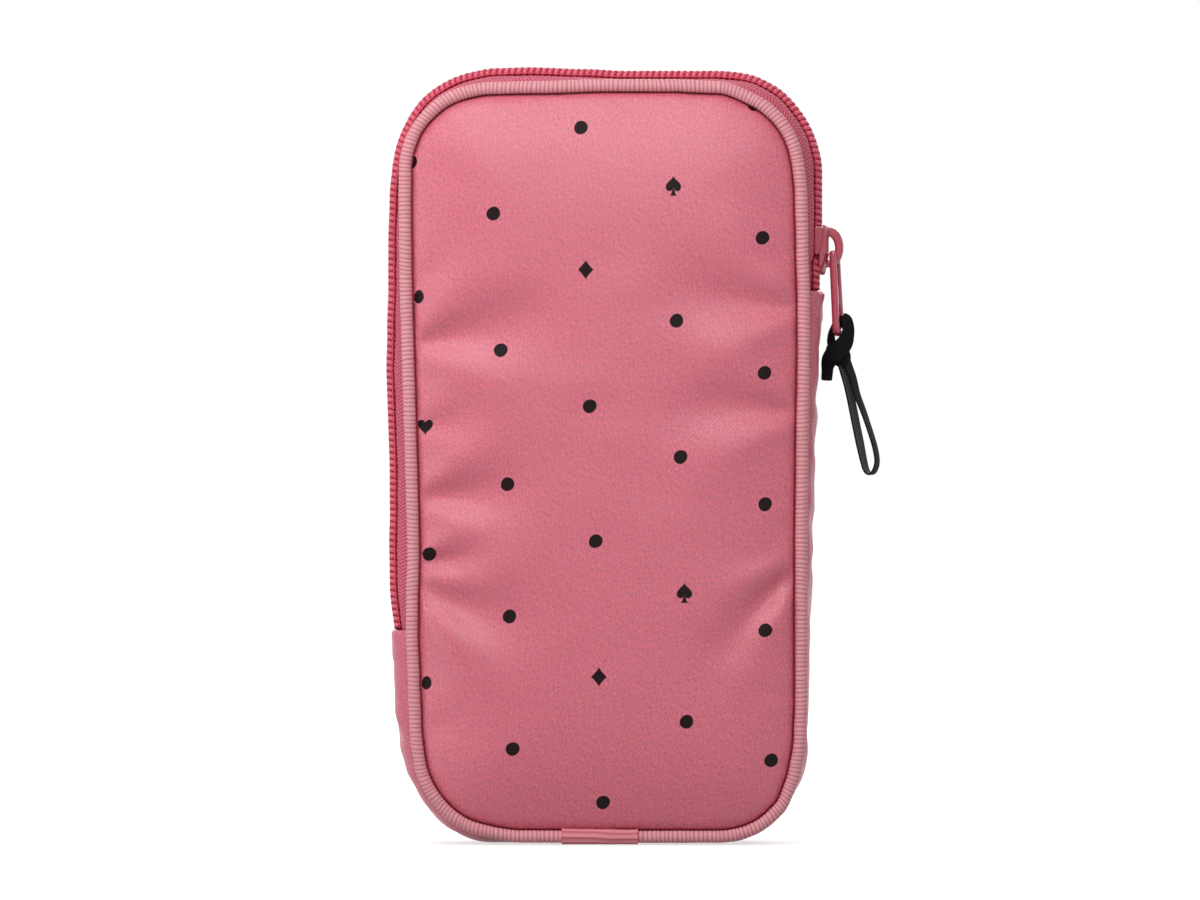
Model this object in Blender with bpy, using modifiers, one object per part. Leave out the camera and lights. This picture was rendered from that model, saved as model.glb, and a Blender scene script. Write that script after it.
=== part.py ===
"""A padded pouch, piped round its front and back and zipped over three sides.

Metres, +Z up, the printed front facing -Y and the slider on the +X side. The origin is the middle
of the flat bottom. The front folds open about a slanting line between the two ends of the zip.
"""
from math import atan2, cos, hypot, pi, radians, sin

import bmesh
import bpy
from mathutils import Matrix, Vector

# Clearance between neighbours, how far a cutter runs past what it cuts, and a weld
GAP = 0.0003
OVERRUN = 0.02
WELD = 0.000003

# How many degrees apart two faces may lie and still be shaded as one
CRISP_ANGLE = 40
RIBBON_ANGLE = 50
SLEEVE_ANGLE = 60
CORD_ANGLE = 80

# Outline of the front and the back, to the outside of the piping
HALF_WIDTH = 0.0511
HEIGHT = 0.1904
CORNER_RADIUS = 0.023
LEFT_SLACK = 0.0021
SLACK_FULL_SHARE = 0.3
SLACK_GONE_SHARE = 0.82
CORNER_STEPS = 6
RIGHT_STEPS = 4
TOP_STEPS = 2
LEFT_STEPS = 6

# Piping: a cloth sleeve on a cord, with a patch where its two ends meet
PIPING_RADIUS = 0.00155
SLEEVE_WALL = 0.00035
SLEEVE_POINTS = 7
SLEEVE_MOUTH = radians(50)
SEAM_ANGLE = radians(225)
CORD_SIDES = 5
SPLICE_WALL = 0.0003
SPLICE_LIFT = 0.00005
SPLICE_LEFT = 0.01125
SPLICE_RIGHT = 0.00825
SPLICE_MOUTH = radians(150)
SPLICE_POINTS = 7
SPLICE_STEP_SHARES = (0, 0.04, 0.5, 0.96, 1)

# Sides: half the depth between the seams, and how far they swell at the middle
HALF_DEPTH = 0.0145
ZIP_BULGE = 0.0034
SIDE_WALL = 0.0009
SIDE_LINING_WALL = 0.0005
SEAM_DROP = 0.0018
BULGE_SHARES = (
    (0.0, 0.0), (0.06, 0.0), (0.118, 0.02), (0.21, 0.0), (0.262, 0.12), (0.3, 1.0), (0.39, 1.0),
    (0.46, 0.78), (0.54, 0.95), (0.61, 0.8), (0.66, 0.88), (0.72, 1.3), (0.79, 1.32),
    (0.83, 1.0), (0.88, 1.05), (0.925, 0.45), (0.948, 0.0), (1.0, 0.0))
SIDE_PROFILE_SHARES = ((1.0, 0.0), (0.8, 0.62), (0.45, 1.0))

# Front and back: cloth, padding and lining, crowned like a thin cushion
CLOTH_WALL = 0.0009
PADDING_WALL = 0.0024
LINING_WALL = 0.0005
CROWN = 0.006
CROWN_CORNER = 0.0006
SEAM_TUCK = 0.0002
LAYER_TUCK = 0.004
LAYER_SPREAD_SHARE = 1.18
CLOTH_RING_SHARES = (0.0, 0.13, 0.32, 0.6, 1.0)
LAYER_RING_SHARES = (0.0, 0.4, 1.0)

# Binding over the seam allowances inside
BINDING_WIDTH = 0.0034
BINDING_THICKNESS = 0.0016

# Zip: how far below the top it ends on each side, its tapes and its two coils
ZIP_RIGHT_DROP = 0.05265
ZIP_LEFT_DROP = 0.13765
TAPE_WALL = 0.0005
TAPE_PROFILE_SHARES = ((1.0, 0.0), (0.74, 0.72), (0.43, 1.0))
COIL_HEIGHT = 0.0021
COIL_HALF_WIDTH = 0.0029
COIL_ROOT_WIDTH = 0.0006
TOOTH_PITCH = 0.00157
TOOTH_REACH = 0.0004
TOOTH_GAP = 0.0004
TOOTH_DIP = 0.0003
CHAIN_SAMPLES = 2000

# Fold: how far above the slider the front starts to open
FOLD_RISE = 0.0034

# Slider: two plates joined by a post, with side walls that hold the coils together
SLIDER_LENGTH = 0.0127
SLIDER_STAND = 0.004
SLIDER_HALF_WIDTH = 0.0046
SLIDER_TAIL_SHARE = 0.95
SLIDER_OUTLINE_SHARES = ((0.52, 0.0), (0.9, 0.16), (1.0, 0.34), (0.95, 0.6))
SLIDER_OUTER_PLATE = 0.0014
SLIDER_INNER_PLATE = 0.0011
SLIDER_DOME = 0.0006
SLIDER_NOSE_FALL = 0.0005
SLIDER_FALL_SHARE = 0.4
SLIDER_SIDE_WALL = 0.0011
SLIDER_SIDE_SHARE = 0.59
SLIDER_POST_RADIUS = 0.0008
SLIDER_POST_STAND = 0.0019
SLIDER_POST_RUN = 0.0032
SLIDER_ROUND = 0.00025

# Bail: the arch that holds the pull on the slider
BAIL_REACH = 0.0038
BAIL_RISE = 0.0052
BAIL_HOLE_REACH = 0.0023
BAIL_HOLE_RISE = 0.0029
BAIL_HALF_WIDTH = 0.0009
BAIL_MIDDLE = 0.0068
BAIL_FOOT = 0.0022
BAIL_SINK = 0.0002
BAIL_STEPS = 10

# Pull: a flat tab with a window for the bail and an eye for the ribbon
PULL_BAR_RADIUS = 0.00055
PULL_WINDOW_HALF = 0.0019
PULL_TOP_HALF = 0.0031
PULL_FOOT_HALF = 0.0037
PULL_FOOT_SHARE = 0.75
PULL_THICKNESS = 0.0014
PULL_DROP = 0.0209
PULL_WINDOW_DROP = 0.0077
PULL_WEB_DROP = 0.0125
PULL_EYE_HALF = 0.0023
PULL_EYE_SHARE = 0.5
PULL_EYE_DROP = 0.0189
PULL_RECESS = 0.00035
PULL_TWIST = radians(12)
PULL_LEAN = radians(3)
PULL_ROUND_STEPS = 8
PULL_EYE_STEPS = 6
PULL_WINDOW_STEPS = 4
POST_SIDES = 12
BAR_SIDES = 10

# Ribbon strap: a turn through the eye, a knot with its cut tail, and a long loop
RIBBON_WIDTH = 0.004
RIBBON_WALL = 0.0007
RIBBON_STEPS = 3
TURN_SHIFT = 0.00075
TURN_RISE = 0.0004
TURN_HALF_ACROSS = 0.0029
TURN_HALF_UP = 0.0044
TURN_STEPS = 16
KNOT_HALF_ACROSS = 0.0032
KNOT_HALF_WIDTH = 0.0023
KNOT_HALF_UP = 0.0028
KNOT_DROP = 0.0053
KNOT_SIDES = 14
KNOT_STEPS = 8
TAIL_WIDTH = 0.0029
TAIL_WALL = 0.0008
TAIL_LENGTH = 0.0062
TAIL_SHIFT = 0.0024
LOOP_DROP = 0.0346
LOOP_SHARES = (
    (0.045, -0.245), (0.085, -0.38), (0.15, -0.64), (0.215, -0.9), (0.257, -1.0), (0.3, -0.94),
    (0.297, -0.83), (0.235, -0.62), (0.165, -0.4), (0.115, -0.245))


# Sizes that follow from the ones above
FOOT = GAP + SPLICE_WALL + SPLICE_LIFT
ZIP_RIGHT_END = FOOT + HEIGHT - ZIP_RIGHT_DROP
ZIP_LEFT_END = FOOT + HEIGHT - ZIP_LEFT_DROP
CLOTH_EDGE = -2 * PIPING_RADIUS - GAP
CROWN_REACH = CORNER_RADIUS + CLOTH_EDGE - CROWN_CORNER
SIDE_HALF = HALF_DEPTH - PIPING_RADIUS - GAP
CLOTH_EDGE_DEPTH = HALF_DEPTH - SEAM_TUCK
CHAIN_X = HALF_WIDTH + ZIP_BULGE
CHAIN_MIDDLE = CHAIN_X - COIL_HEIGHT / 2
TAPE_FACE = CHAIN_X - COIL_HEIGHT - GAP
TAPE_EDGE = SLIDER_POST_RADIUS + GAP
ACROSS = HALF_WIDTH - CORNER_RADIUS
UPRIGHT = HEIGHT - 2 * CORNER_RADIUS
ARC = CORNER_RADIUS * pi / 2
ROUND = 4 * ACROSS + 2 * UPRIGHT + 4 * ARC
SLIDER_FOOT = ZIP_RIGHT_END + SLIDER_STAND
FOLD_LEFT = ZIP_LEFT_END + GAP
FOLD_RIGHT = SLIDER_FOOT + SLIDER_LENGTH + FOLD_RISE
FOLD_SLOPE = (FOLD_RIGHT - FOLD_LEFT) / (2 * CHAIN_X)
FOLD_ANGLE = atan2(FOLD_RIGHT - FOLD_LEFT, 2 * CHAIN_X)
FOLD_MIDDLE = Vector((0, -CLOTH_EDGE_DEPTH - CROWN - GAP, (FOLD_LEFT + FOLD_RIGHT) / 2))
FOLD_CHAIN = FOLD_MIDDLE.z + CHAIN_MIDDLE * FOLD_SLOPE
PLATE_TOP = CHAIN_X + GAP + SLIDER_OUTER_PLATE
PIVOT_HEIGHT = SLIDER_FOOT + BAIL_MIDDLE - BAIL_HOLE_RISE + 3 * GAP + PULL_BAR_RADIUS
PIVOT = Vector((PLATE_TOP + 3 * GAP + PULL_BAR_RADIUS, 0, PIVOT_HEIGHT))
EYE_BAR = (PULL_EYE_DROP + PULL_DROP) / 2


def clear_scene():
    """Empties the file, so that the model is the same on every run."""
    for thing in list(bpy.data.objects):
        bpy.data.objects.remove(thing, do_unlink=True)


def new_collection(name):
    """Adds an empty collection to the scene."""
    made = bpy.data.collections.new(name)
    bpy.context.scene.collection.children.link(made)
    return made


def paint(name, red, green, blue, roughness, metallic=0.0):
    """A plain material from an sRGB colour of 0 to 255."""
    made = bpy.data.materials.new(name)
    made.use_nodes = True
    shader = made.node_tree.nodes["Principled BSDF"]
    linear = [(channel / 255) ** 2.2 for channel in (red, green, blue)]
    shader.inputs["Base Color"].default_value = (*linear, 1)
    shader.inputs["Roughness"].default_value = roughness
    shader.inputs["Metallic"].default_value = metallic
    made.diffuse_color = (*linear, 1)
    return made


def between(low, high, value):
    """A smooth share from 0 at low to 1 at high."""
    part = min(max((value - low) / (high - low), 0), 1)
    return part * part * (3 - 2 * part)


def read_table(table, share):
    """The value at a share of the way, eased between the table's stops."""
    for (low, start), (high, end) in zip(table, table[1:]):
        if share <= high:
            return start + (end - start) * between(low, high, share)
    return table[-1][1]


def bulge(share):
    """How far the middle of the sides stands out from the piping, at a share of the way round."""
    return FOOT + (ZIP_BULGE - FOOT) * read_table(BULGE_SHARES, share)


def place(share, grow):
    """The point at a share of the way round from the bottom centre, grown out from the piping."""
    left = share * ROUND
    x, z, heading = 0.0, FOOT + CORNER_RADIUS, 0.0
    for number, run in enumerate((ACROSS, ARC, UPRIGHT, ARC, 2 * ACROSS, ARC, UPRIGHT, ARC, ACROSS)):
        part = min(left, run)
        left -= part
        if number % 2:
            heading += part / CORNER_RADIUS
        else:
            x += part * cos(heading)
            z += part * sin(heading)
    x += (CORNER_RADIUS + grow) * sin(heading)
    z -= (CORNER_RADIUS + grow) * cos(heading)
    if x < 0:
        drawn = 1 - between(SLACK_FULL_SHARE * HEIGHT, SLACK_GONE_SHARE * HEIGHT, z)
        x *= 1 - LEFT_SLACK / HALF_WIDTH * drawn
    return x, z


def side_share(height):
    """The share of the way round at which the right side reaches a height."""
    return (ACROSS + ARC + height - FOOT - CORNER_RADIUS) / ROUND


def corner_shares():
    """Shares of the way round at each step of the corners and along the straight runs."""
    shares = []
    done = 0.0
    runs = ((ACROSS, 1), (ARC, CORNER_STEPS), (UPRIGHT, RIGHT_STEPS), (ARC, CORNER_STEPS),
            (2 * ACROSS, TOP_STEPS), (ARC, CORNER_STEPS), (UPRIGHT, LEFT_STEPS),
            (ARC, CORNER_STEPS), (ACROSS, 1))
    for run, steps in runs:
        shares += [(done + run * step / steps) / ROUND for step in range(steps)]
        done += run
    return shares


def shares_between(start, end):
    """The same shares, cut to a stretch that may run past the bottom centre."""
    wrapped = [share + turn for turn in (0, 1) for share in corner_shares()]
    edge = GAP / ROUND
    return [start] + [share for share in wrapped if start + edge < share < end - edge] + [end]


def link(name, mesh, material, collection):
    """Puts a mesh in the scene as a named piece."""
    made = bpy.data.objects.new(name, mesh)
    mesh.materials.clear()
    mesh.materials.append(material)
    collection.objects.link(made)
    return made


def shade(piece, angle=CRISP_ANGLE):
    """Shades a piece smooth, keeping its edges crisp."""
    piece.data.shade_smooth()
    piece.data.set_sharp_from_angle(angle=radians(angle))


def mesh_of(shape, name):
    """Turns a working shape into a mesh with its faces pointing out."""
    bmesh.ops.recalc_face_normals(shape, faces=shape.faces)
    mesh = bpy.data.meshes.new(name)
    shape.to_mesh(mesh)
    shape.free()
    return mesh


def loft(name, rings, material, collection, closed=False):
    """Skins a row of like-numbered rings of points; an open row gets an end face at each end."""
    shape = bmesh.new()
    rows = [[shape.verts.new(point) for point in ring] for ring in rings]
    pairs = list(zip(rows, rows[1:])) + ([(rows[-1], rows[0])] if closed else [])
    for first, second in pairs:
        for spot in range(len(first)):
            after = (spot + 1) % len(first)
            shape.faces.new((first[spot], first[after], second[after], second[spot]))
    if not closed:
        shape.faces.new(rows[0])
        shape.faces.new(rows[-1])
    return link(name, mesh_of(shape, name), material, collection)


def apply_modifiers(piece):
    """Keeps what the modifiers make as the piece's own mesh."""
    evaluated = piece.evaluated_get(bpy.context.evaluated_depsgraph_get())
    mesh = bpy.data.meshes.new_from_object(evaluated)
    piece.modifiers.clear()
    piece.data = mesh
    return piece


def boolean(piece, operation, other):
    """Joins another shape to a piece, or cuts it away."""
    step = piece.modifiers.new(operation.lower(), "BOOLEAN")
    step.operation = operation
    step.object = other
    step.solver = "EXACT"
    return piece


def fuse(piece, others):
    """Joins shapes into one closed body and removes the shapes that were joined."""
    for other in others:
        boolean(piece, "UNION", other)
    bpy.context.view_layer.update()
    apply_modifiers(piece)
    for other in others:
        bpy.data.objects.remove(other, do_unlink=True)
    return piece


def box(name, low, high, material, collection):
    """A box between two corners."""
    shape = bmesh.new()
    bmesh.ops.create_cube(shape, size=1)
    low, high = Vector(low), Vector(high)
    middle, size = (low + high) / 2, high - low
    for vert in shape.verts:
        vert.co = [middle[axis] + vert.co[axis] * size[axis] for axis in range(3)]
    return link(name, mesh_of(shape, name), material, collection)


def rod(name, radius, length, centre, turn, sides, material, collection):
    """A round bar of a given length, lying along its own Z until it is turned."""
    shape = bmesh.new()
    bmesh.ops.create_cone(shape, cap_ends=True, segments=sides, depth=length,
                          radius1=radius, radius2=radius)
    bmesh.ops.transform(shape, matrix=Matrix.Translation(centre) @ turn, verts=shape.verts)
    return link(name, mesh_of(shape, name), material, collection)


def outline_plate(name, outlines, thickness, turn, material, collection, bevel=0.0):
    """A flat plate from closed outlines, the first one outside and the rest its holes."""
    curve = bpy.data.curves.new(name, "CURVE")
    curve.dimensions = "2D"
    curve.fill_mode = "BOTH"
    curve.extrude = thickness / 2 - bevel
    curve.bevel_depth = bevel
    curve.bevel_resolution = 0
    curve.offset = -bevel
    for outline in outlines:
        spline = curve.splines.new("POLY")
        spline.points.add(len(outline) - 1)
        for point, (across, up) in zip(spline.points, outline):
            point.co = (across, up, 0, 1)
        spline.use_cyclic_u = True
    return curve_to_mesh(name, curve, turn, material, collection)


def curve_to_mesh(name, curve, turn, material, collection):
    """Turns a curve into a welded mesh piece, placed by a matrix."""
    source = bpy.data.objects.new(name, curve)
    collection.objects.link(source)
    bpy.context.view_layer.update()
    graph = bpy.context.evaluated_depsgraph_get()
    mesh = bpy.data.meshes.new_from_object(source.evaluated_get(graph))
    bpy.data.objects.remove(source, do_unlink=True)
    shape = bmesh.new()
    shape.from_mesh(mesh)
    bmesh.ops.remove_doubles(shape, verts=shape.verts, dist=WELD)
    bmesh.ops.transform(shape, matrix=turn, verts=shape.verts)
    return link(name, mesh_of(shape, name), material, collection)


def ribbon(name, points, closed, turn, material, collection):
    """A band of ribbon that follows a path in its own plane, at its real width and thickness."""
    curve = bpy.data.curves.new(name, "CURVE")
    curve.dimensions = "2D"
    curve.fill_mode = "NONE"
    curve.extrude = RIBBON_WIDTH / 2
    spline = curve.splines.new("POLY" if closed else "BEZIER")
    places = spline.points if closed else spline.bezier_points
    places.add(len(points) - 1)
    for place_on, (across, up) in zip(places, points):
        place_on.co = (across, up, 0, 1) if closed else (across, up, 0)
        if not closed:
            place_on.handle_left_type = place_on.handle_right_type = "AUTO"
    spline.use_cyclic_u = closed
    curve.resolution_u = RIBBON_STEPS
    piece = curve_to_mesh(name, curve, turn, material, collection)
    wall = piece.modifiers.new("wall", "SOLIDIFY")
    wall.thickness = RIBBON_WALL
    wall.offset = 0
    wall.use_even_offset = True
    bpy.context.view_layer.update()
    return apply_modifiers(piece)


def crowned_sheet(name, side, edge, rings, shift, wall, material, collection):
    """A crowned layer of the front (side -1) or back (side 1), shift inside the cloth's face."""
    shape = bmesh.new()
    reach = CROWN_REACH + CLOTH_EDGE - edge
    rows = []
    for ring in rings:
        grow = edge - (reach - 2 * (CLOTH_EDGE - edge)) * ring
        flat = min(max((CLOTH_EDGE - grow) / CROWN_REACH, 0), 1)
        depth = CLOTH_EDGE_DEPTH + CROWN * (1 - (1 - flat) ** 2) - shift
        row = [place(share, grow) for share in corner_shares()]
        rows.append([shape.verts.new((x, side * depth, z)) for x, z in row])
    for first, second in zip(rows, rows[1:]):
        for spot in range(len(first)):
            after = (spot + 1) % len(first)
            shape.faces.new((first[spot], first[after], second[after], second[spot]))
    shape.faces.new(rows[-1])
    bmesh.ops.recalc_face_normals(shape, faces=shape.faces)
    shape.faces.ensure_lookup_table()
    if shape.faces[0].normal.y * side < 0:
        bmesh.ops.reverse_faces(shape, faces=shape.faces)
    mesh = bpy.data.meshes.new(name)
    shape.to_mesh(mesh)
    shape.free()
    piece = link(name, mesh, material, collection)
    shell = piece.modifiers.new("wall", "SOLIDIFY")
    shell.thickness = wall
    shell.offset = -1
    shell.use_even_offset = True
    return piece


def fold_cutter(name, keep, collection):
    """A block that covers one side of the fold and half a gap more."""
    size = 2 * (HEIGHT + OVERRUN)
    shape = bmesh.new()
    bmesh.ops.create_cube(shape, size=size)
    lift = Matrix.Translation((0, 0, keep * (size / 2 - GAP / 2)))
    turn = Matrix.Translation((0, 0, FOLD_MIDDLE.z)) @ Matrix.Rotation(-FOLD_ANGLE, 4, "Y")
    bmesh.ops.transform(shape, matrix=turn @ lift, verts=shape.verts)
    mesh = bpy.data.meshes.new(name)
    shape.to_mesh(mesh)
    shape.free()
    cutter = bpy.data.objects.new(name, mesh)
    cutter.hide_render = True
    cutter.display_type = "WIRE"
    collection.objects.link(cutter)
    return cutter


def split_front(build, name, cutters):
    """Makes a front piece twice, once on each side of the fold."""
    base = boolean(build(name + "_base"), "DIFFERENCE", cutters["above"])
    flap = boolean(build(name + "_flap"), "DIFFERENCE", cutters["below"])
    return base, flap


def arc_ring(share, side, radius, wall, points, mouth):
    """The section of a sleeve round the piping: out along its outside and back along its inside."""
    ring = []
    middle = -PIPING_RADIUS
    for out_in, reach in ((1, radius), (-1, radius - wall)):
        for step in range(points):
            part = step / (points - 1) if out_in > 0 else 1 - step / (points - 1)
            angle = SEAM_ANGLE + mouth / 2 + (2 * pi - mouth) * part
            x, z = place(share, middle + reach * cos(angle))
            ring.append((x, side * (HALF_DEPTH + reach * sin(angle)), z))
    return ring


def sleeve(name, side, material, collection):
    """The cloth of the piping, open along the seam where its cord was laid in."""
    rings = [arc_ring(share, side, PIPING_RADIUS, SLEEVE_WALL, SLEEVE_POINTS, SLEEVE_MOUTH)
             for share in corner_shares()]
    piece = loft(name, rings, material, collection, closed=True)
    shade(piece, SLEEVE_ANGLE)
    return piece


def cord(name, side, material, collection):
    """The cord inside the piping."""
    radius = PIPING_RADIUS - SLEEVE_WALL - GAP
    rings = []
    for share in corner_shares():
        ring = []
        for step in range(CORD_SIDES):
            angle = 2 * pi * step / CORD_SIDES
            x, z = place(share, -PIPING_RADIUS + radius * cos(angle))
            ring.append((x, side * (HALF_DEPTH + radius * sin(angle)), z))
        rings.append(ring)
    piece = loft(name, rings, material, collection, closed=True)
    shade(piece, CORD_ANGLE)
    return piece


def splice(name, side, material, collection):
    """The patch that wraps the piping's meeting ends at the bottom."""
    radius = PIPING_RADIUS + GAP + SPLICE_WALL
    rings = []
    for part in SPLICE_STEP_SHARES:
        share = (-SPLICE_LEFT + (SPLICE_LEFT + SPLICE_RIGHT) * part) / ROUND % 1
        rings.append(arc_ring(share, side, radius, SPLICE_WALL, SPLICE_POINTS, SPLICE_MOUTH))
    piece = loft(name, rings, material, collection)
    shade(piece, SLEEVE_ANGLE)
    return piece


def binding(name, side, material, collection):
    """The tape that covers the raw seam allowances inside."""
    outer = -SEAM_DROP - SIDE_WALL - 2 * GAP
    high = CLOTH_EDGE_DEPTH - CLOTH_WALL * LAYER_SPREAD_SHARE - GAP
    low = high - BINDING_THICKNESS
    rings = []
    for share in corner_shares():
        ring = []
        for grow, depth in ((outer, low), (outer, high), (outer - BINDING_WIDTH, high),
                            (outer - BINDING_WIDTH, low)):
            x, z = place(share, grow)
            ring.append((x, side * depth, z))
        rings.append(ring)
    return loft(name, rings, material, collection, closed=True)


def side_section(share, profile, half, lift, wall, edge=None):
    """A section through the sides: across the outer face, and back along the inner face."""
    middle = bulge(share) - lift
    places = [(half * across, -SEAM_DROP + (middle + SEAM_DROP) * up) for across, up in profile]
    if edge is None:
        places += [(-depth, grow) for depth, grow in reversed(places)]
    else:
        places.append((edge, middle))
    return places + [(depth, grow - wall) for depth, grow in reversed(places)]


def side_band(name, shares, profile, half, lift, wall, material, collection, edge=None, side=1):
    """A band of the sides that follows the outline between two shares of the way round."""
    rings = []
    for share in shares:
        ring = []
        for depth, grow in side_section(share % 1, profile, half, lift, wall, edge):
            x, z = place(share % 1, grow)
            ring.append((x, side * depth, z))
        rings.append(ring)
    piece = loft(name, rings, material, collection)
    shade(piece)
    return piece


def chain_stops():
    """Shares of the way round at every half tooth of the zip, from the right end to the left."""
    start, end = side_share(ZIP_RIGHT_END + GAP), 1 - side_share(ZIP_LEFT_END + GAP)
    fine = [start + (end - start) * step / CHAIN_SAMPLES for step in range(CHAIN_SAMPLES + 1)]
    spots = [place(share, bulge(share)) for share in fine]
    lengths = [0.0]
    for (x0, z0), (x1, z1) in zip(spots, spots[1:]):
        lengths.append(lengths[-1] + hypot(x1 - x0, z1 - z0))
    count = 2 * round(lengths[-1] / TOOTH_PITCH)
    stops = []
    spot = 0
    for step in range(count + 1):
        wanted = lengths[-1] * step / count
        while spot < len(lengths) - 2 and lengths[spot + 1] < wanted:
            spot += 1
        part = (wanted - lengths[spot]) / (lengths[spot + 1] - lengths[spot])
        stops.append(fine[spot] + (fine[spot + 1] - fine[spot]) * part)
    return stops


def coil(name, side, stops, first, last, material, collection):
    """One side of the zip's coil: a rail whose inner edge steps in and out as the teeth mesh.

    Below the slider's post the two sides have not met yet, and run apart.
    """
    post = SLIDER_FOOT + SLIDER_POST_STAND
    rings = []
    for number in range(first, last + 1):
        share = stops[number]
        tooth = 1 if number % 2 == (0 if side < 0 else 1) else -1
        x, z = place(share, 0)
        open_part = 1 - between(post + SLIDER_POST_RADIUS, post + SLIDER_POST_RUN, z) if x > 0 else 0
        parted = open_part * (SLIDER_POST_RADIUS + GAP + TOOTH_REACH - TOOTH_GAP / 2)
        mesh_edge = TOOTH_GAP / 2 - tooth * TOOTH_REACH + parted
        top = bulge(share) - (0 if tooth > 0 else TOOTH_DIP)
        low = bulge(share) - COIL_HEIGHT
        root = COIL_HALF_WIDTH + parted - (0 if tooth > 0 else TOOTH_DIP)
        ring = []
        shoulder = root - COIL_ROOT_WIDTH
        for depth, grow in ((mesh_edge, low), (mesh_edge, top), (shoulder, top), (root, low)):
            x, z = place(share, grow)
            ring.append((x, side * depth, z))
        rings.append(ring)
    return loft(name, rings, material, collection)


def plate_outline():
    """The slider's outline from nose to tail."""
    right = [(SLIDER_HALF_WIDTH * across, SLIDER_LENGTH * up) for across, up in SLIDER_OUTLINE_SHARES]
    tail = SLIDER_HALF_WIDTH * SLIDER_TAIL_SHARE
    step = SLIDER_HALF_WIDTH - tail
    right += [(tail, SLIDER_LENGTH - step), (tail - step, SLIDER_LENGTH)]
    return right + [(-across, up) for across, up in reversed(right)]


def slider_body(material, collection):
    """The slider's two plates, its post between the coils and its side walls."""
    stand = Matrix(((0, 0, 1, 0), (1, 0, 0, 0), (0, 1, 0, SLIDER_FOOT), (0, 0, 0, 1)))
    outer_middle = CHAIN_X + GAP + SLIDER_OUTER_PLATE / 2
    inner_top = TAPE_FACE - TAPE_WALL - GAP
    inner_middle = inner_top - SLIDER_INNER_PLATE / 2
    outer_turn = Matrix.Translation((outer_middle, 0, 0)) @ stand
    inner_turn = Matrix.Translation((inner_middle, 0, 0)) @ stand
    outer = outline_plate("slider_body", [plate_outline()], SLIDER_OUTER_PLATE, outer_turn,
                          material, collection, SLIDER_ROUND)
    dome_plate(outer, outer_middle)
    inner = outline_plate("inner_plate", [plate_outline()], SLIDER_INNER_PLATE, inner_turn,
                          material, collection, SLIDER_ROUND)
    post_at = ((outer_middle + inner_middle) / 2, 0, SLIDER_FOOT + SLIDER_POST_STAND)
    joined = [inner, rod("post", SLIDER_POST_RADIUS, outer_middle - inner_middle, post_at,
                         Matrix.Rotation(pi / 2, 4, "Y"), POST_SIDES, material, collection)]
    wall_in = COIL_HALF_WIDTH + GAP
    wall_foot = SLIDER_FOOT + SLIDER_LENGTH * (1 - SLIDER_SIDE_SHARE)
    wall_top = SLIDER_FOOT + SLIDER_LENGTH - 2 * SLIDER_ROUND
    for hand in (-1, 1):
        near, far = sorted((hand * wall_in, hand * (wall_in + SLIDER_SIDE_WALL)))
        joined.append(box("side_wall", (TAPE_FACE + GAP, near, wall_foot),
                          (outer_middle, far, wall_top), material, collection))
    fuse(outer, joined)
    shade(outer)
    return outer


def dome_plate(plate, middle):
    """Domes the outer face of the slider and lets it fall towards the nose."""
    for vert in plate.data.vertices:
        if vert.co.x > middle:
            across = vert.co.y / SLIDER_HALF_WIDTH
            along = (vert.co.z - SLIDER_FOOT) / SLIDER_LENGTH
            fall = 1 - between(0, SLIDER_FALL_SHARE, along)
            vert.co.x -= SLIDER_DOME * across * across + SLIDER_NOSE_FALL * fall


def slider_bail(material, collection):
    """The arch over the slider, with its two feet on the outer plate."""
    middle = SLIDER_FOOT + BAIL_MIDDLE
    foot = PLATE_TOP + GAP
    outline = []
    for reach, rise, order in ((BAIL_REACH, BAIL_RISE, 1), (BAIL_HOLE_REACH, BAIL_HOLE_RISE, -1)):
        for step in range(BAIL_STEPS + 1):
            angle = order * (pi / 2 - pi * step / BAIL_STEPS)
            outline.append((foot + reach * cos(angle), middle + rise * sin(angle)))
        if order > 0:
            low = foot - BAIL_SINK
            outline += [(low, middle - rise), (low, middle - rise + BAIL_FOOT / 2)]
    upright = Matrix(((1, 0, 0, 0), (0, 0, -1, 0), (0, 1, 0, 0), (0, 0, 0, 1)))
    piece = outline_plate("slider_bail", [outline], 2 * BAIL_HALF_WIDTH, upright,
                          material, collection)
    shade(piece)
    return piece


def half_round(half_across, half_up, centre_up, start, end, steps):
    """Points along part of an ellipse."""
    points = []
    for step in range(steps + 1):
        angle = start + (end - start) * step / steps
        points.append((half_across * cos(angle), centre_up + half_up * sin(angle)))
    return points


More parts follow.
